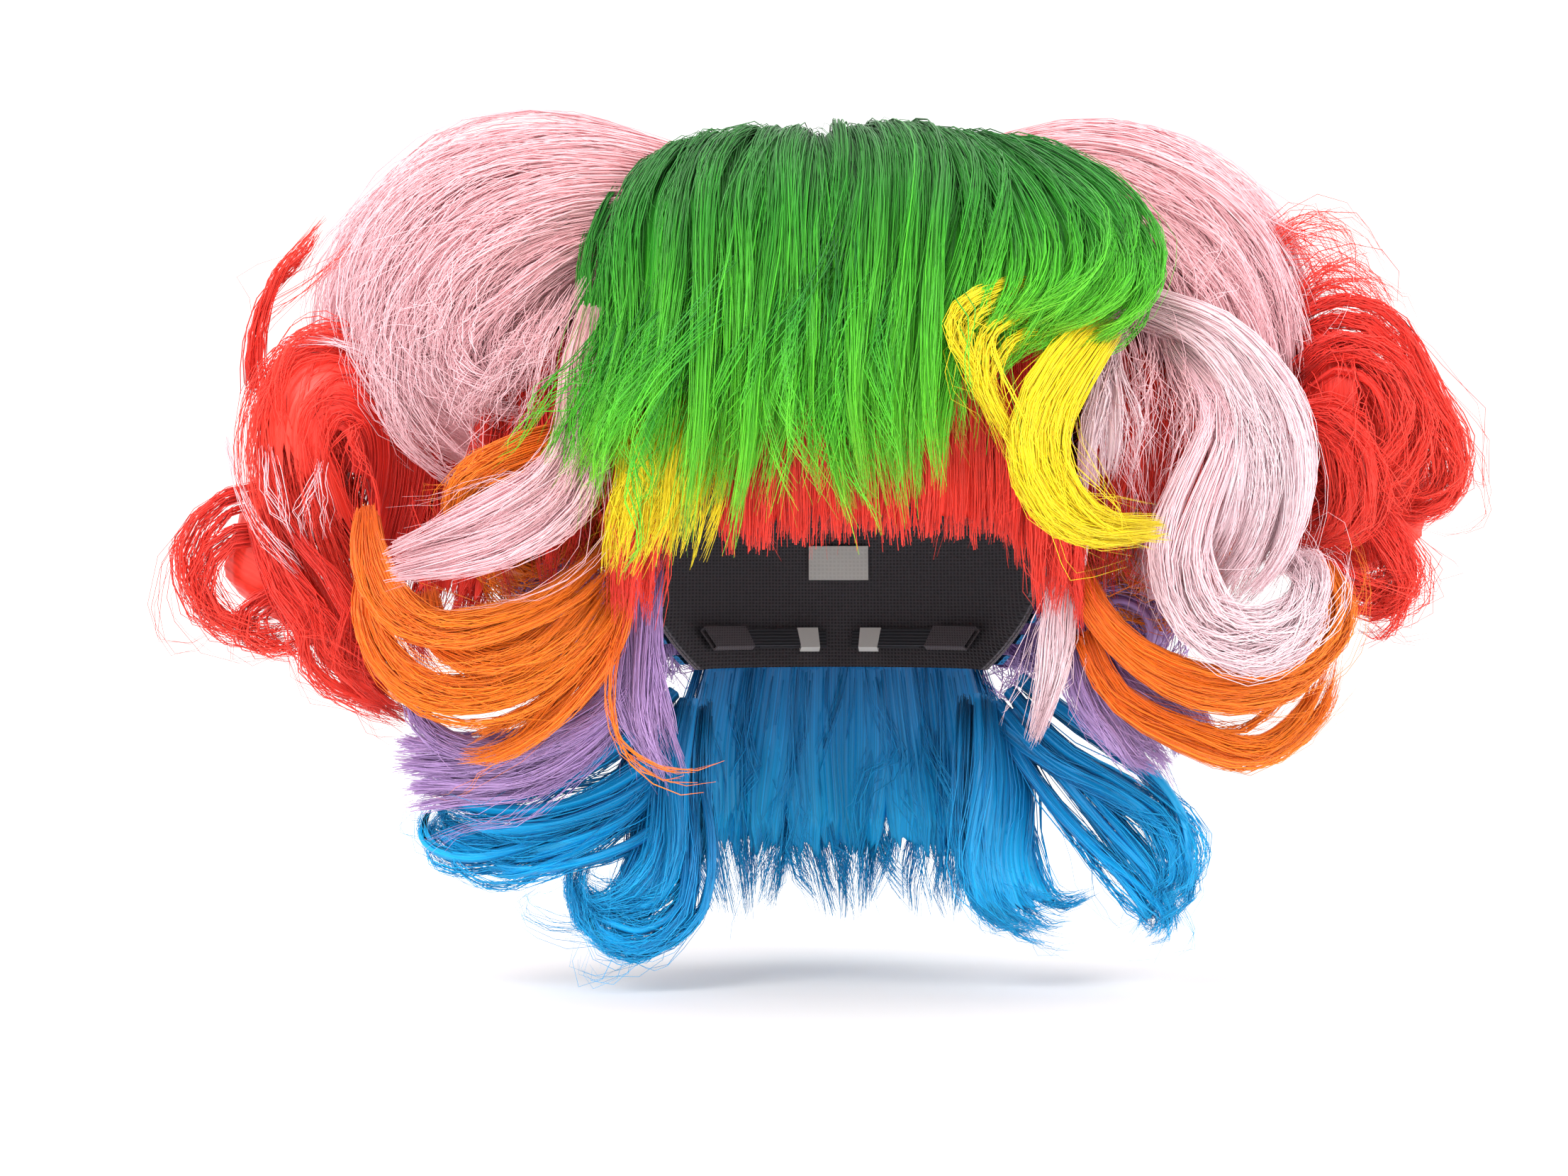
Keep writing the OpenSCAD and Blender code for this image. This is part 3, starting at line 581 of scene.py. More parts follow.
hair("red_fringe", RED, [
    dict(guides=[[fringe_line(x, 98), fringe_line(x * 1.02, 62, 2), fringe_line(x * 1.04, 20,
         1)] for x in (-42, -18, 6, 30, 54, 66)], thick=[7, 8, 5], count=2000, clumps=108, clump=0.28, wave=1.2,
         frizz=0.4, ends=(0.88, 1.0), taper=0.6),
    dict(guides=[[fringe_line(x, 96), fringe_line(x + 3, 56, 3), fringe_line(x + 8, 10,
         2)] for x in (52, 60, 66)], thick=[7, 7, 4], count=320, clumps=18, clump=0.33, wave=1.4,
         ends=(0.8, 1.0)),
])
hair("red_side_left", RED, [
    dict(guides=[
        [(-60, -82, 58), (-65, -84, 30), (-66, -80, -6)],
        [(-78, -68, 58), (-82, -70, 30), (-84, -66, -10)],
    ], thick=[9, 9, 5], count=520, clumps=23, clump=0.39, wave=1.6, ends=(0.7, 1.0)),
])
hair("red_side_right", RED, [
    dict(guides=[
        [(60, -82, 56), (64, -83, 28), (66, -80, -2)],
        [(76, -70, 56), (82, -70, 26), (84, -66, -12)],
    ], thick=[10, 10, 5], count=560, clumps=23, clump=0.39, wave=1.6, ends=(0.7, 1.0)),
])

# pink bouffants: front-view lines from the crown outward and round, from the outline to the eye of the roll
LEFT_SWEEP = [
    [(-44, 161), (-78, 171), (-108, 175), (-140, 170), (-166, 155), (-188, 132), (-195, 104), (-186, 76), (-166, 54)],
    [(-46, 158), (-80, 166), (-112, 167), (-142, 158), (-166, 139), (-179, 112), (-174, 84), (-154, 60), (-132, 50)],
    [(-50, 153), (-86, 157), (-116, 153), (-143, 141), (-160, 120), (-165, 97), (-157, 76), (-141, 60), (-122, 54)],
    [(-56, 146), (-90, 146), (-117, 138), (-139, 123), (-151, 104), (-152, 87), (-144, 74), (-130, 68), (-114, 70)],
    [(-64, 138), (-94, 134), (-116, 125), (-133, 111), (-140, 97), (-138, 86), (-130, 80), (-120, 80), (-110, 84)],
    [(-72, 128), (-96, 122), (-113, 113), (-124, 103), (-128, 95), (-125, 90), (-119, 89), (-113, 91), (-108, 95)],
]
RIGHT_SWEEP = [
    [(40, 164), (76, 174), (108, 175), (138, 163), (160, 140), (171, 108), (170, 76), (162, 40), (150, 8)],
    [(44, 160), (80, 168), (112, 162), (138, 144), (156, 118), (163, 88), (160, 58), (152, 26), (140, -2)],
    [(48, 155), (84, 158), (112, 147), (134, 128), (146, 102), (149, 74), (146, 46), (138, 18), (128, -8)],
    [(54, 148), (86, 147), (110, 133), (126, 112), (133, 88), (134, 62), (130, 38), (124, 14), (118, -8)],
    [(62, 140), (88, 136), (106, 122), (117, 102), (121, 82), (120, 60), (117, 38), (113, 18), (110, 2)],
]
# loose fibres in front of the gaps beside the bouffants
LEFT_HAZE = [
    [(-90, -56, 116), (-100, -62, 86), (-112, -58, 56)],
    [(-98, -52, 114), (-114, -56, 84), (-132, -52, 58)],
    [(-108, -50, 108), (-128, -52, 82), (-150, -48, 62)],
]
RIGHT_HAZE = [
    [(86, -58, 104), (92, -68, 68), (100, -72, 34)],
    [(102, -58, 104), (108, -68, 66), (104, -74, 22)],
    [(120, -58, 100), (124, -66, 60), (112, -74, 14)],
]
for word, sweep, route, eye, haze in (("left", LEFT_SWEEP, PUFF_LEFT, (-130, 88), LEFT_HAZE),
                                      ("right", RIGHT_SWEEP, PUFF_RIGHT, (112, 84), RIGHT_HAZE)):
    name = "pink_puff_" + word
    hair(name, PUFF, [
        dict(guides=comb(sweep, route, -1), thick=[8, 12, 12, 10, 7], count=1400, clumps=110, clump=0.2, wave=3.8,
             frizz=1.1, ends=(0.55, 1.0), step=15.0, loose=0.12, core=0.4, radius=0.27),
        dict(guides=comb(sweep[1:], route, -1, 4.0), thick=[6, 10, 10, 6], count=300, clumps=70, clump=0.3, wave=7.0,
             frizz=2.0, starts=(0.0, 0.6), ends=(0.45, 1.0), core=0, loose=0, radius=0.17),
        dict(guides=haze, thick=[8, 14, 8], count=150, clumps=60, clump=0.2, wave=4.0, frizz=1.2, ends=(0.5, 1.0),
             starts=(0.0, 0.4), core=0, loose=0, radius=0.15),
    ], core_of=(name, eye))
    hair(name + "_far", PUFF, [
        dict(guides=comb(sweep, route, 1), thick=[8, 12, 12, 10, 7], count=1100, clumps=72, clump=0.23, wave=3.4,
             frizz=0.9, ends=(0.62, 1.0), step=15.0, loose=0.06, core=0.4, radius=0.3),
    ], nodes=[name])

# pink locks
hair("pink_lock_left", PUFF, [
    lock([(-91, -60, 104), (-95, -68, 82), (-95, -74, 56), (-104, -80, 36), (-128, -86, 22), (-163, -77, 12)],
         [7, 12, 18, 25, 25, 12], [7, 9, 10, 9, 5], 900, clumps=28, clump=0.28, wave=1.2, frizz=0.4,
         ends=(0.85, 1.0), taper=0.6),
])
hair("pink_lock_right", PALE, [
    *bundle([(84, -40, 112), (108, -54, 106), (132, -66, 94), (148, -72, 70), (152, -73, 45), (146, -72, 19),
            (130, -68, -4)], [14, 20, 24, 25, 23, 17, 8], [5, 7, 8, 8, 7, 6, 4], 760, 5, stray=0.2, clump=0.35,
            wave=2.4, frizz=0.8),
    *bundle([(118, -62, 92), (134, -70, 66), (121, -75, 34), (116, -78, 12), (124, -81, -9), (143, -80, -18),
            (161, -73, -11), (168, -65, 4), (163, -62, 14), (154, -62, 10)],
            [8, 12, 15, 16, 16, 15, 13, 11, 8, 5], [5, 7, 8, 8, 8, 7, 6, 6, 5, 4], 560, 4, stray=0.2, clump=0.4,
            wave=2.4, frizz=0.8),
    *bundle([(96, -58, 96), (91, -74, 70), (88, -78, 30)], [12, 13, 8], [5, 6, 4], 200, 3, clump=0.3, wave=1.6,
            ends=(0.75, 1.0)),
])
hair("pink_face_lock", PALE, [
    lock([(84, -62, 26), (79, -58, 0), (77, -54, -26), (69, -50, -52)], [7, 10, 10, 4], [6, 7, 7, 3], 380,
         clumps=16, clump=0.28, wave=1.2, ends=(0.75, 1.0)),
])

# red curls at the sides
CURLY = dict(clump=0.4, wave=2.4, frizz=0.8, loose=0.3)
TIGHT = dict(clump=0.4, wave=2.6, frizz=1.0, loose=0.3)
WISPS = dict(gap=0.6, clump=0.5, wave=2.4, frizz=0.8, core=0, loose=0.3)
SPRAY = dict(stray=0.3, clump=0.2, wave=3.4, frizz=1.6, core=0, loose=0.8, radius=0.2)
LEFT_DRAPE = [
    [(-166, 2), (-157, 30), (-152, 60), (-166, 91), (-187, 98), (-207, 91), (-218, 68), (-217, 38), (-207, 10),
     (-190, -16), (-168, -42)],
    [(-171, 8), (-164, 36), (-162, 64), (-173, 85), (-189, 89), (-203, 80), (-210, 60), (-208, 34), (-198, 8),
     (-183, -16), (-164, -38)],
    [(-176, 16), (-170, 42), (-171, 64), (-180, 79), (-190, 79), (-199, 70), (-202, 52), (-198, 28), (-188, 4),
     (-176, -18), (-160, -36)],
    [(-178, 42), (-177, 56), (-180, 66), (-186, 71), (-192, 68), (-194, 56), (-191, 38), (-184, 16), (-175, -4),
     (-166, -20), (-156, -32)],
    [(-183, 46), (-183, 54), (-185, 60), (-188, 61), (-189, 54), (-186, 42), (-180, 26), (-172, 8), (-164, -8),
     (-158, -20), (-152, -28)],
]
hair("red_curl_left", RED, [
    dict(guides=comb(LEFT_DRAPE, CURL_LEFT, -1, 3.0), thick=[8, 12, 13, 12, 8], count=800, clumps=40, clump=0.5,
         wave=4.0, frizz=1.0, ends=(0.6, 1.0), loose=0.14, core=0.4),
    dict(guides=comb(LEFT_DRAPE, CURL_LEFT, 1, 2.0), thick=[8, 12, 13, 12, 8], count=340, clumps=36, clump=0.39,
         wave=3.6, frizz=0.9, ends=(0.7, 1.0), loose=0.06, core=0.4),
    *bundle([(-214, -16, 40), (-234, -20, 34), (-245, -20, 16), (-241, -18, -3), (-226, -16, -10),
            (-212, -14, -3)], [9, 10, 11, 9, 8, 4], [3, 4, 4, 3], 75, 3, **WISPS),
    *bundle([(-212, -18, 24), (-230, -22, 20), (-238, -22, 4), (-229, -20, -9), (-212, -18, -15),
            (-202, -16, -10)], [8, 9, 9, 8, 7, 3], [3, 4, 4, 3], 66, 3, **WISPS),
    *bundle([(-204, -18, 4), (-221, -20, -4), (-222, -20, -16), (-208, -18, -19), (-198, -16, -12)],
            [9, 9, 8, 6, 3], [3, 4, 4, 3], 60, 3, **WISPS),
    *bundle([(-216, -24, 34), (-206, -28, 12), (-192, -30, -6), (-190, -26, -22), (-176, -22, -34),
            (-160, -14, -44)], [12, 14, 14, 12, 10, 5], [4, 5, 5, 3], 150, 4, stray=0.3, clump=0.4, wave=3.4,
            frizz=1.0, core=0.3, loose=0.3),
    lock([(-220, -8, 76), (-221, -8, 96), (-214, -8, 114), (-204, -8, 126), (-196, -8, 140)], [9, 6, 5, 4, 3],
         [5, 4, 3, 2], 70, clumps=7, clump=0.39, wave=1.4, core=0, loose=0.2, reach=4),
    lock([(-176, -10, 0), (-184, -12, -18), (-178, -10, -34), (-162, -6, -46)], [12, 16, 14, 6], [8, 9, 8, 4],
         160, clumps=12, clump=0.44, wave=2.6, core=0.3, loose=0.2),
    lock([(-164, 2, 66), (-152, 2, 48), (-146, 2, 22), (-150, 0, -4), (-156, -2, -24)], [10, 22, 28, 24, 10],
         [10, 14, 14, 8], 380, clumps=18, clump=0.5, wave=4.0, frizz=1.2, ends=(0.65, 1.0), core=0.3, loose=0.2),
], body="red_hang_left", root=((-0.168, 0.008, 0.092), (-0.182, 0.0, 0.078)), core_of=("red_curl_left",
  (-190, 62), 7.5))
RIGHT_DRAPE = [
    [(160, 98), (165, 84), (164, 66), (166, 46), (168, 28), (172, 12), (178, 2)],
    [(162, 100), (176, 92), (178, 72), (178, 50), (182, 30), (184, 14), (190, 0)],
    [(165, 102), (186, 98), (192, 80), (190, 56), (192, 36), (196, 18), (198, 2)],
]
hair("red_curl_right", RED, [
    dict(guides=comb(RIGHT_DRAPE, CURL_RIGHT, -1, 2.0), thick=[8, 12, 13, 12, 8], count=420, clumps=34, clump=0.5,
         wave=6.0, frizz=1.6, ends=(0.5, 1.0), loose=0.2, core=0.4, rate=1.8),
    dict(guides=comb(RIGHT_DRAPE, CURL_RIGHT, 1, 2.0), thick=[8, 12, 13, 12, 8], count=400, clumps=32, clump=0.5,
         wave=5.0, frizz=1.2, ends=(0.6, 1.0), loose=0.1, core=0.4),
    *bundle([(164, -10, 92), (182, -16, 104), (200, -20, 98), (212, -22, 78), (224, -20, 58), (226, -18, 42),
            (214, -16, 34), (198, -16, 40)], [12, 14, 15, 15, 14, 12, 10, 5], [4, 5, 5, 5, 3], 260, 4, stray=0.16,
            core=0.4, **CURLY),
    *bundle([(166, -16, 76), (182, -24, 90), (200, -28, 84), (208, -28, 64), (203, -26, 48), (190, -24, 44),
            (184, -24, 54)], [10, 12, 13, 13, 11, 9, 5], [4, 5, 5, 4, 3], 220, 4, stray=0.16, core=0.4, **CURLY),
    *bundle([(160, -18, 60), (172, -28, 66), (186, -32, 58), (190, -32, 40), (184, -30, 24), (170, -28, 18)],
            [9, 11, 12, 11, 9, 5], [4, 5, 5, 3], 180, 3, stray=0.16, core=0.3, **TIGHT),
    *bundle([(172, -20, 40), (192, -24, 36), (204, -24, 22), (208, -22, 6), (198, -20, -4), (184, -18, -2)],
            [10, 13, 13, 12, 9, 4], [4, 5, 5, 3], 200, 4, stray=0.2, core=0.4, **TIGHT),
    *bundle([(156, -16, 30), (168, -22, 14), (184, -22, 4), (200, -20, 2), (206, -18, 14)], [8, 10, 10, 9, 4],
            [4, 5, 5, 3], 140, 3, stray=0.2, core=0.3, **TIGHT),
    *bundle([(164, -8, 92), (158, -8, 112), (164, -8, 129), (177, -8, 135), (190, -8, 127), (196, -8, 106)],
            [9, 9, 10, 12, 12, 10], [5, 6, 6, 6], 46, 4, **SPRAY),
    *bundle([(168, -10, 96), (176, -10, 112), (188, -10, 120), (202, -10, 112), (208, -10, 92)],
            [8, 9, 10, 10, 8], [5, 6, 6, 6], 46, 3, **SPRAY),
], body="red_hang_right", root=((0.162, 0.008, 0.1), (0.176, 0.0, 0.086)), core_of=("red_curl_right", (190, 62),
  6.5))

# painted highlight on the left red curl: thin pale pink fibres lying over its front, standing for the light streaks on
# the glossy red
build = Build()
for path in ([(-208, -30, 93), (-190, -36, 95), (-172, -36, 86), (-161, -32, 68), (-158, -26, 50)],
             [(-229, -22, 60), (-222, -30, 40), (-210, -32, 20), (-198, -30, 8)],
             [(-213, -34, 56), (-209, -36, 38), (-200, -34, 18)],
             [(-192, -36, 50), (-195, -36, 34), (-194, -32, 18)]):
    build.tubes(*strands(Groom(ribbon(path, 4), 3), 15, rng, radius=0.16, clump=0.3, clumps=5, wave=1.5, frizz=0.8))
highlight_streaks = build.mesh("pale_highlight_left", PALE)
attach(highlight_streaks, "red_hang_left")

# orange loops
hair("orange_left", ORANGE, [
    *bundle([(-174, -48, 33), (-172, -54, 14), (-163, -60, -3), (-146, -65, -12), (-122, -69, -9), (-98, -68, 2),
            (-78, -64, 24)], [5, 9, 11, 12, 12, 11, 7], [5, 8, 9, 9, 9, 8, 5], 378, 3, clump=0.33, wave=1.4,
            ends=(0.9, 1.0)),
    *bundle([(-174, -40, 12), (-173, -46, -6), (-163, -52, -24), (-143, -56, -35), (-116, -58, -31),
            (-92, -60, -12), (-79, -62, 16)], [6, 9, 12, 13, 13, 12, 7], [5, 8, 9, 9, 9, 8, 5], 432, 3,
            clump=0.33, wave=1.4, ends=(0.9, 1.0)),
    *bundle([(-152, -50, 2), (-146, -56, -14), (-128, -60, -22), (-106, -62, -16), (-84, -64, 6)],
            [7, 10, 11, 11, 7], [5, 8, 8, 5], 270, 3, clump=0.33, wave=1.6, ends=(0.85, 1.0)),
    *bundle([(-100, -50, 58), (-116, -54, 54), (-130, -56, 46), (-139, -56, 34), (-136, -54, 22)],
            [12, 16, 15, 11, 5], [7, 8, 8, 4], 288, 3, clump=0.33, wave=1.6, ends=(0.82, 1.0)),
    *bundle([(-80, -60, 12), (-84, -58, -14), (-106, -52, -40), (-134, -48, -54), (-150, -42, -46)],
            [8, 12, 13, 11, 5], [6, 8, 8, 4], 270, 3, clump=0.41, wave=2.0, ends=(0.65, 1.0), core=0.3),
    lock([(-82, -66, -14), (-85, -68, -36), (-80, -72, -56), (-62, -78, -66), (-44, -84, -62)], [3, 3, 3, 2, 2],
         2, 14, clumps=5, clump=0.33, wave=1.2, core=0, loose=0),
])
hair("orange_right", ORANGE, [
    *bundle([(82, -62, 12), (92, -66, -8), (108, -68, -23), (134, -64, -32), (162, -55, -28), (179, -48, -10),
            (176, -44, 8), (164, -44, 14)], [7, 11, 14, 16, 15, 13, 10, 5], [6, 8, 10, 11, 10, 9, 7, 4], 648, 3,
            clump=0.33, wave=1.4, ends=(0.88, 1.0)),
    *bundle([(86, -56, -12), (98, -54, -34), (122, -50, -48), (151, -46, -56), (172, -42, -42), (180, -40, -20)],
            [7, 10, 12, 12, 10, 5], [6, 8, 9, 8, 7, 4], 378, 3, clump=0.39, wave=1.8, ends=(0.82, 1.0)),
])

# lilac locks
hair("lilac_left", LILAC, [
    dict(guides=[
        [(-78, -52, 8), (-82, -46, -26), (-102, -36, -46), (-138, -24, -54), (-164, -16, -54)],
        [(-80, -46, 4), (-86, -38, -36), (-106, -28, -56), (-138, -18, -64), (-164, -12, -66)],
        [(-82, -38, 0), (-90, -28, -46), (-108, -20, -68), (-136, -12, -74), (-159, -8, -79)],
    ], thick=[10, 13, 12, 10, 6], count=1000, clumps=36, clump=0.3, wave=1.8, ends=(0.88, 1.0), taper=0.7),
    lock([(-72, -52, 14), (-74, -48, -16), (-74, -42, -44), (-66, -36, -66)], [11, 15, 14, 6], [8, 9, 8, 4], 360,
         clumps=16, clump=0.33, wave=1.8, ends=(0.7, 1.0), core=0.4),
    lock([(-158, -30, -30), (-156, -34, -44), (-142, -36, -54), (-120, -38, -56), (-98, -40, -46)],
         [4, 7, 8, 8, 5], [4, 6, 6, 4], 150, clumps=9, clump=0.33, wave=1.4, core=0.3),
])
hair("lilac_right", LILAC, [
    dict(guides=[
        [(78, -48, -6), (84, -44, -36), (98, -36, -56), (112, -30, -68)],
        [(84, -42, -6), (98, -36, -36), (116, -28, -50), (126, -22, -62)],
        [(90, -34, -6), (108, -28, -30), (130, -20, -42), (140, -16, -52)],
    ], thick=[9, 12, 11, 6], count=700, clumps=28, clump=0.33, wave=1.8, ends=(0.75, 1.0)),
])

# blue hair at the neck
hair("blue_left", BLUE, [
    *bundle([(-62, 28, -38), (-80, 20, -60), (-110, 10, -76), (-140, 4, -80), (-157, 0, -76)],
            [24, 26, 20, 14, 6], [14, 18, 16, 12, 6], 378, 4, facing=(0.3, -1, 0.3), clump=0.44, wave=2.4,
            ends=(0.82, 1.0), loose=0.12),
    *bundle([(-64, 30, -44), (-80, 22, -72), (-108, 14, -88), (-138, 8, -96), (-154, 2, -90), (-150, 0, -80)],
            [20, 22, 16, 12, 9, 4], [14, 16, 14, 10, 5], 324, 4, facing=(0.3, -1, 0.3), clump=0.47, wave=2.0,
            ends=(0.85, 1.0), loose=0.12),
    *bundle([(-62, 26, -44), (-74, 16, -76), (-96, 8, -94), (-124, 4, -103), (-142, 0, -98)], [22, 20, 14, 10, 4],
            [12, 14, 12, 6], 252, 4, facing=(0.3, -1, 0.3), clump=0.47, wave=2.4, ends=(0.75, 1.0), loose=0.14),
    dict(guides=[
        [(-54, 18, -38), (-57, 8, -66), (-58, 4, -94), (-66, 0, -114), (-82, 0, -118), (-88, 0, -106)],
        [(-60, 26, -42), (-66, 20, -72), (-70, 14, -100), (-82, 8, -118), (-98, 6, -116), (-98, 6, -102)],
        [(-66, 38, -44), (-76, 34, -76), (-80, 28, -104), (-90, 20, -118), (-104, 18, -112), (-98, 16, -100)],
    ], thick=[12, 18, 18, 12, 6, 4], count=560, clumps=18, clump=0.47, wave=2.6, ends=(0.8, 1.0), loose=0.12),
    *bundle([(-58, 14, -70), (-56, 6, -98), (-60, 2, -120), (-76, 0, -131), (-92, 0, -126), (-96, 0, -115)],
            [14, 14, 11, 9, 8, 4], [8, 9, 8, 6, 4], 216, 4, clump=0.47, wave=2.0, ends=(0.85, 1.0), core=0.4,
            loose=0.14),
], body="blue_hang_left", root=((-0.064, 0.03, -0.046), (-0.074, 0.026, -0.062)))
hair("blue_right", BLUE, [
    *bundle([(62, 28, -38), (84, 18, -58), (108, 8, -72), (124, 2, -88), (127, -2, -106), (116, -4, -114)],
            [24, 24, 19, 14, 10, 4], [14, 17, 15, 12, 8, 4], 378, 4, facing=(-0.3, -1, 0.3), clump=0.44, wave=2.4,
            ends=(0.82, 1.0), loose=0.12),
    *bundle([(64, 28, -44), (80, 20, -70), (98, 12, -92), (114, 6, -108), (122, 2, -122), (108, 0, -127)],
            [20, 20, 15, 11, 8, 4], [14, 15, 12, 9, 4], 306, 4, facing=(-0.3, -1, 0.3), clump=0.47, wave=2.2,
            ends=(0.82, 1.0), loose=0.12),
    dict(guides=[
        [(50, 18, -36), (49, 6, -66), (46, 2, -96), (50, 0, -116), (62, 0, -126)],
        [(58, 28, -42), (60, 20, -72), (58, 12, -100), (66, 8, -118), (80, 6, -124)],
        [(66, 40, -46), (72, 36, -78), (74, 26, -104), (82, 16, -116), (94, 14, -112)],
    ], thick=[12, 17, 16, 10, 5], count=560, clumps=19, clump=0.47, wave=2.6, ends=(0.75, 1.0), loose=0.12),
], body="blue_hang_right", root=((0.064, 0.03, -0.046), (0.074, 0.026, -0.062)))
hair("blue_back", BLUE, [
    dict(guides=[
        [(x - 20, 84, -26), (x * 1.15 - 24, 98, -62), (x * 1.2 - 22, 102, -94), (x * 1.2 - 12, 96, -126)],
        [(x, 92, -24), (x * 1.15, 110, -60), (x * 1.2 + 2, 112, -92), (x * 1.2 + 4, 100, -130)],
        [(x + 20, 84, -26), (x * 1.15 + 24, 98, -62), (x * 1.2 + 20, 102, -94), (x * 1.2 + 10, 94, -122)],
    ], thick=[14, 22, 22, 8], count=560, clumps=18, clump=0.44, wave=3.5, ends=(0.75, 1.0), rate=1.8)
    for x in (-34, 0, 34)
], body="blue_hang_back", root=((0, 0.086, -0.040), (0, 0.094, -0.056)))


STEPS = 11


def ringlets(side, first, last, out, z, r, number, count, lift=0.0):
    """Curls side by side round the back of the head, each rolled outward and under."""
    layers = []
    edges = np.radians(np.linspace(first, last, number + 1))
    for a, b in zip(edges[:-1], edges[1:]):
        big = r * rng.uniform(0.82, 1.12)
        drop = rng.uniform(-7, 5)
        twist = rng.uniform(-0.16, 0.16)
        guides = []
        for turn in (a - 0.02, (a + b) / 2, b + 0.02):
            swell = 1.06 if turn == (a + b) / 2 else 0.92
            phi = np.radians(np.linspace(165, -215, STEPS))  # out from the net, down and round under
            fall = np.linspace(1.0, 0.5, STEPS) * big * swell
            o = out + np.cos(phi) * fall
            o[0] = min(o[0], 6.0)
            h = z + drop + np.sin(phi) * fall + lift * np.linspace(1, 0, STEPS) ** 2
            reach = HEAD_R + o
            way = turn + twist * np.linspace(0, 1, STEPS) ** 1.5
            guides.append(np.stack([side * np.sin(way) * reach, HEAD_LEN / 2 + np.cos(way) * reach, h], -1))
        layers.append(dict(guides=guides, thick=[8, 11, 11, 9], count=count, clumps=16, clump=0.5, wave=4.0, frizz=1.1,
                           ends=(0.6, 1.0), loose=0.12, step=13.0, radius=0.36))
    return layers


for side, word in ((-1, "left"), (1, "right")):
    crown = [[(side * x, 10, 150), (side * x * 1.3, 44, 160), (side * (x * 1.6 + 4), 84, 148),
              (side * (x * 1.8 + 6), 108, 116), (side * (x * 1.8 + 6), 108, 84)] for x in (0, 12, 24, 36, 48)]
    hair(f"back_pink_{word}", PUFF, [
        dict(guides=crown, thick=[12, 18, 18, 16, 8], count=620, clumps=32, clump=0.33, wave=3.0, ends=(0.75, 1.0)),
        *ringlets(side, 6, 84, -4, 110, 32, 5, 160, lift=6)])
    inner = dict(guides=[[(side * 88, -22, 96), (side * 92, -32, 66), (side * 90, -30, 30), (side * 96, -26, 4)],
                         [(side * 104, -24, 98), (side * 112, -38, 68), (side * 108, -36, 32), (side * 110, -30, 2)],
                         [(side * 118, -18, 92), (side * 130, -28, 62), (side * 126, -28, 30), (side * 122, -22, 0)]],
                 thick=[8, 12, 10, 6], count=420, clumps=24, clump=0.4, wave=4.0, frizz=1.6, ends=(0.6, 1.0), core=0.3)
    hair(f"back_red_{word}", RED, [inner, *ringlets(side, 2, 97, 38, 64, 27, 6, 210)])
hair("back_orange", ORANGE,
     ringlets(-1, 0, 106, 42, 22, 21, 6, 110) + ringlets(1, 0, 106, 42, 22, 21, 6, 110))
hair("back_lilac", LILAC,
     ringlets(-1, 0, 98, 29, -14, 18, 6, 105) + ringlets(1, 0, 98, 29, -14, 18, 6, 105))


# ---- teased bases ----

def teased(name, fuzz):
    """A pad of back-combed hair: the node's own shape, roughened, with short curly fibres all over. Its dark brown is
    painted shade, for the shadow seen through the thin parts of the bouffants.
    """
    co, no, quads = remeshed(name, relax=1, inset=0.0)
    lump = sum(np.sin(co @ rng.normal(0, 0.35, 3) + rng.uniform(0, 6)) for _ in range(7)) / 7
    skin = co - no * (2.5 - 2.0 * lump[:, None])
    faces = quads[:, :3]
    pick = rng.integers(0, len(faces), fuzz)
    start = skin[faces[pick]].mean(1)
    out = unit(no[faces[pick]].mean(1))
    m = 9
    way = unit(np.cross(out, rng.normal(0, 1, (fuzz, 3))))
    s = np.linspace(0, 1, m)[None, :, None]
    span = rng.uniform(6, 14, (fuzz, 1, 1))
    p = start[:, None] + way[:, None] * span * s + out[:, None] * (np.sin(s * np.pi) * 3.0 - 1.0)
    p += 1.6 * waves(rng, fuzz, m, np.tile(np.linspace(0, 1, m), (fuzz, 1)), 1.6)
    build = Build()
    r = np.full((fuzz, m), 0.3)
    build.tubes(p, r, np.tile(np.linspace(0, 1, m), (fuzz, 1)), rng.uniform(0, 1, fuzz))
    k = len(quads)
    v = rng.uniform(0.02, 0.95, k)
    u = rng.uniform(0.05, 0.9, k)
    corner = np.stack([np.stack([u + a, v + b], -1) for a, b in ((0, 0), (0.02, 0), (0.02, 0.02), (0, 0.02))], 1)
    build.add(skin, quads, corner)
    piece = build.mesh(name, TEASED_SHADE)
    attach(piece, "cap")
    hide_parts(name)


for pad, fibres in (("crown_pad", 900), ("pad_left", 700), ("pad_right", 700)):
    teased(pad, fibres)


# ---- cap ----

def woven(name, colour, other, size, rough=0.8, depth=0.3, weave=True):
    """Cloth: two crossed sets of threads, or lengthwise ribs, in the row frame's own coordinates."""
    mat, nt, bsdf = principled(name)
    add, link = nt.nodes.new, nt.links.new
    where = add("ShaderNodeTexCoord")
    heights = []
    for axis in (("X", "Z") if weave else ("Z",)):
        wave = add("ShaderNodeTexWave")
        wave.bands_direction = axis
        wave.inputs["Scale"].default_value = 1 / size
        wave.inputs["Distortion"].default_value = 0.6
        link(where.outputs["Object"], wave.inputs["Vector"])
        heights.append(wave)
    if weave:
        both = add("ShaderNodeMath")
        both.operation = "MAXIMUM"
        link(heights[0].outputs["Fac"], both.inputs[0])
        link(heights[1].outputs["Fac"], both.inputs[1])
        level = both.outputs[0]
    else:
        level = heights[0].outputs["Fac"]
    mix = add("ShaderNodeMix")
    mix.data_type = "RGBA"
    link(level, mix.inputs["Factor"])
    mix.inputs[6].default_value = (*other, 1)
    mix.inputs[7].default_value = (*colour, 1)
    link(mix.outputs[2], bsdf.inputs["Base Color"])
    bump = add("ShaderNodeBump")
    bump.inputs["Strength"].default_value = depth
    bump.inputs["Distance"].default_value = 0.0006
    link(level, bump.inputs["Height"])
    link(bump.outputs["Normal"], bsdf.inputs["Normal"])
    bsdf.inputs["Roughness"].default_value = rough
    return mat


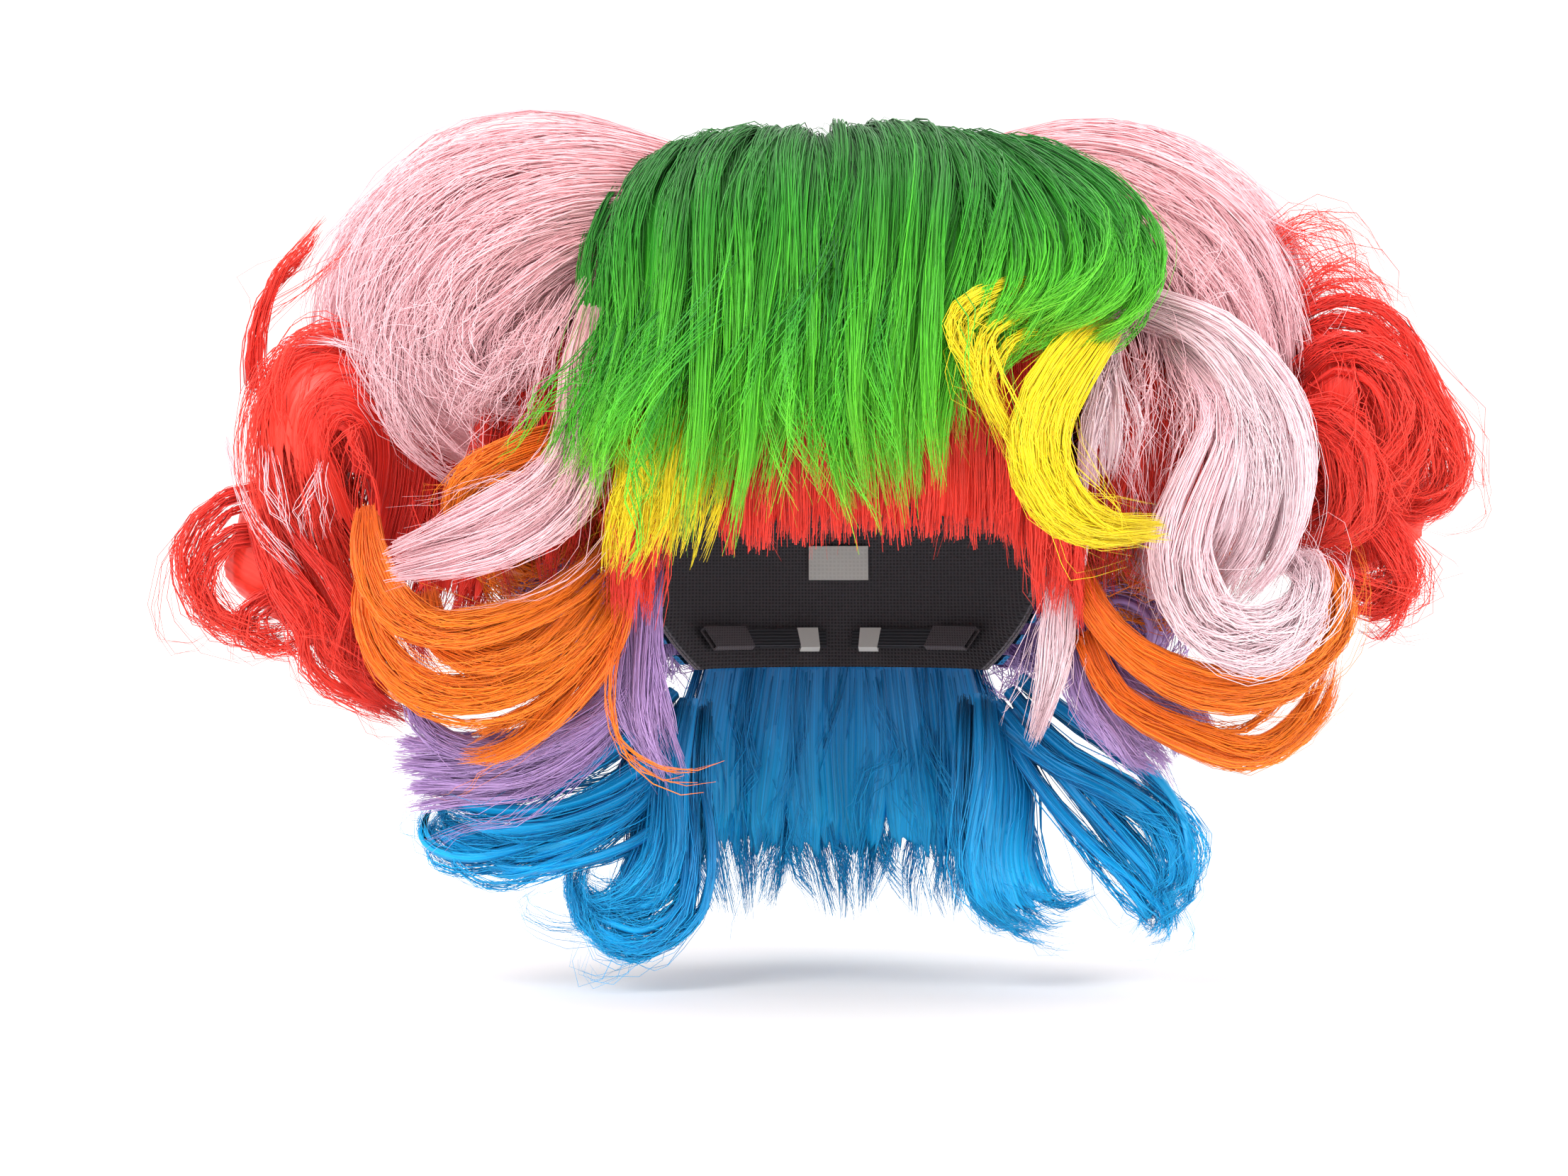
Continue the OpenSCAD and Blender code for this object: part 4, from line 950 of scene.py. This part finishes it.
def plain(name, colour, rough, metallic=0.0):
    mat, _, bsdf = principled(name)
    bsdf.inputs["Base Color"].default_value = (*colour, 1)
    bsdf.inputs["Roughness"].default_value = rough
    bsdf.inputs["Metallic"].default_value = metallic
    return mat


NET = woven("cap_net", (0.10, 0.09, 0.10), (0.03, 0.026, 0.03), 0.0042, depth=0.4)
BAND = woven("cap_band", (0.13, 0.11, 0.12), (0.06, 0.05, 0.055), 0.003, rough=0.75)
RIBBON = woven("cap_ribbon", (0.15, 0.13, 0.14), (0.07, 0.06, 0.065), 0.003, rough=0.5)
ELASTIC = woven("elastic", (0.06, 0.06, 0.07), (0.02, 0.02, 0.025), 0.004, weave=False)
STAY = plain("stay_metal", (0.62, 0.62, 0.63), 0.35, 1.0)
HOOK = plain("hook_plastic", (0.80, 0.78, 0.74), 0.3)
LABEL = woven("label_cloth", (0.88, 0.86, 0.81), (0.78, 0.76, 0.71), 0.005, rough=0.6, depth=0.15)


def weft_material(colour, tint):
    return woven("weft_" + colour, tint, tuple(c * 0.35 for c in tint), 0.004, rough=0.6, depth=0.6)


WEFT_TINTS = {"red": (0.55, 0.03, 0.02), "yellow": (0.85, 0.62, 0.02), "green": (0.03, 0.3, 0.03),
              "pink": (0.85, 0.45, 0.52), "orange": (0.8, 0.15, 0.01), "lilac": (0.36, 0.19, 0.46),
              "blue": (0.01, 0.17, 0.42)}
CAP = {"crown_net": NET, "front_band": BAND, "nape_band": BAND, "ear_tab": BAND, "sleeve": BAND, "ribbon": RIBBON,
       "loop_tape": ELASTIC, "strap": ELASTIC, "tab_stay": STAY, "hook": HOOK, "care_label": LABEL}
for colour, tint in WEFT_TINTS.items():
    CAP["weft_" + colour] = weft_material(colour, tint)
for name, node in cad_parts.items():
    for start, mat in CAP.items():
        if name.startswith(start):
            node.data.materials.clear()
            node.data.materials.append(mat)


# ---- room, light and camera ----

def panel(name, place, aim, size, power):
    data = bpy.data.lights.new(name, "AREA")
    data.shape = "RECTANGLE"
    data.size, data.size_y = size
    data.energy = power
    lamp = bpy.data.objects.new(name, data)
    bpy.context.scene.collection.objects.link(lamp)
    lamp.location = place
    lamp.rotation_euler = (Vector(aim) - Vector(place)).to_track_quat("-Z", "Y").to_euler()
    return lamp


floor_mesh = bpy.data.meshes.new("floor")
W, LOW, FAR, BEND = 6.0, -0.150, 3.0, 1.2  # half width, height, far wall and its curve, in m
profile = [(-4.0, LOW), (FAR - BEND, LOW)]
profile += [(FAR - BEND + np.sin(a) * BEND, LOW + BEND - np.cos(a) * BEND) for a in np.linspace(0.1, np.pi / 2, 12)]
profile += [(FAR, 4.0)]
corners = [(x, y, z) for y, z in profile for x in (-W, W)]
floor_mesh.from_pydata(corners, [], [(2 * i, 2 * i + 1, 2 * i + 3, 2 * i + 2) for i in range(len(profile) - 1)])
floor_mesh.materials.append(plain("floor", (0.90, 0.90, 0.90), 0.9))
floor = bpy.data.objects.new("floor", floor_mesh)
bpy.context.scene.collection.objects.link(floor)

key = panel("key", (-0.9, -1.5, 1.1), (0, 0, 0.05), (1.0, 1.0), power=25)
fill = panel("fill", (1.3, -1.2, 0.6), (0, 0, 0.03), (1.2, 1.2), power=15)
top = panel("top", (0.0, 0.3, 1.8), (0, 0, 0.1), (1.2, 0.8), power=8)

world = bpy.data.worlds.new("studio")
bpy.context.scene.world = world
world.use_nodes = True
world.node_tree.nodes["Background"].inputs["Color"].default_value = (1, 1, 1, 1)
world.node_tree.nodes["Background"].inputs["Strength"].default_value = 1.2

cam_data = bpy.data.cameras.new("camera")
cam_data.sensor_width = 36.0
cam_data.lens = 82.0
camera = bpy.data.objects.new("camera", cam_data)
bpy.context.scene.collection.objects.link(camera)
camera.location = (-0.022, -1.35, 0.0034)
camera.rotation_euler = (np.pi / 2, 0, 0)
bpy.context.scene.camera = camera
bpy.context.scene.view_settings.view_transform = "Standard"
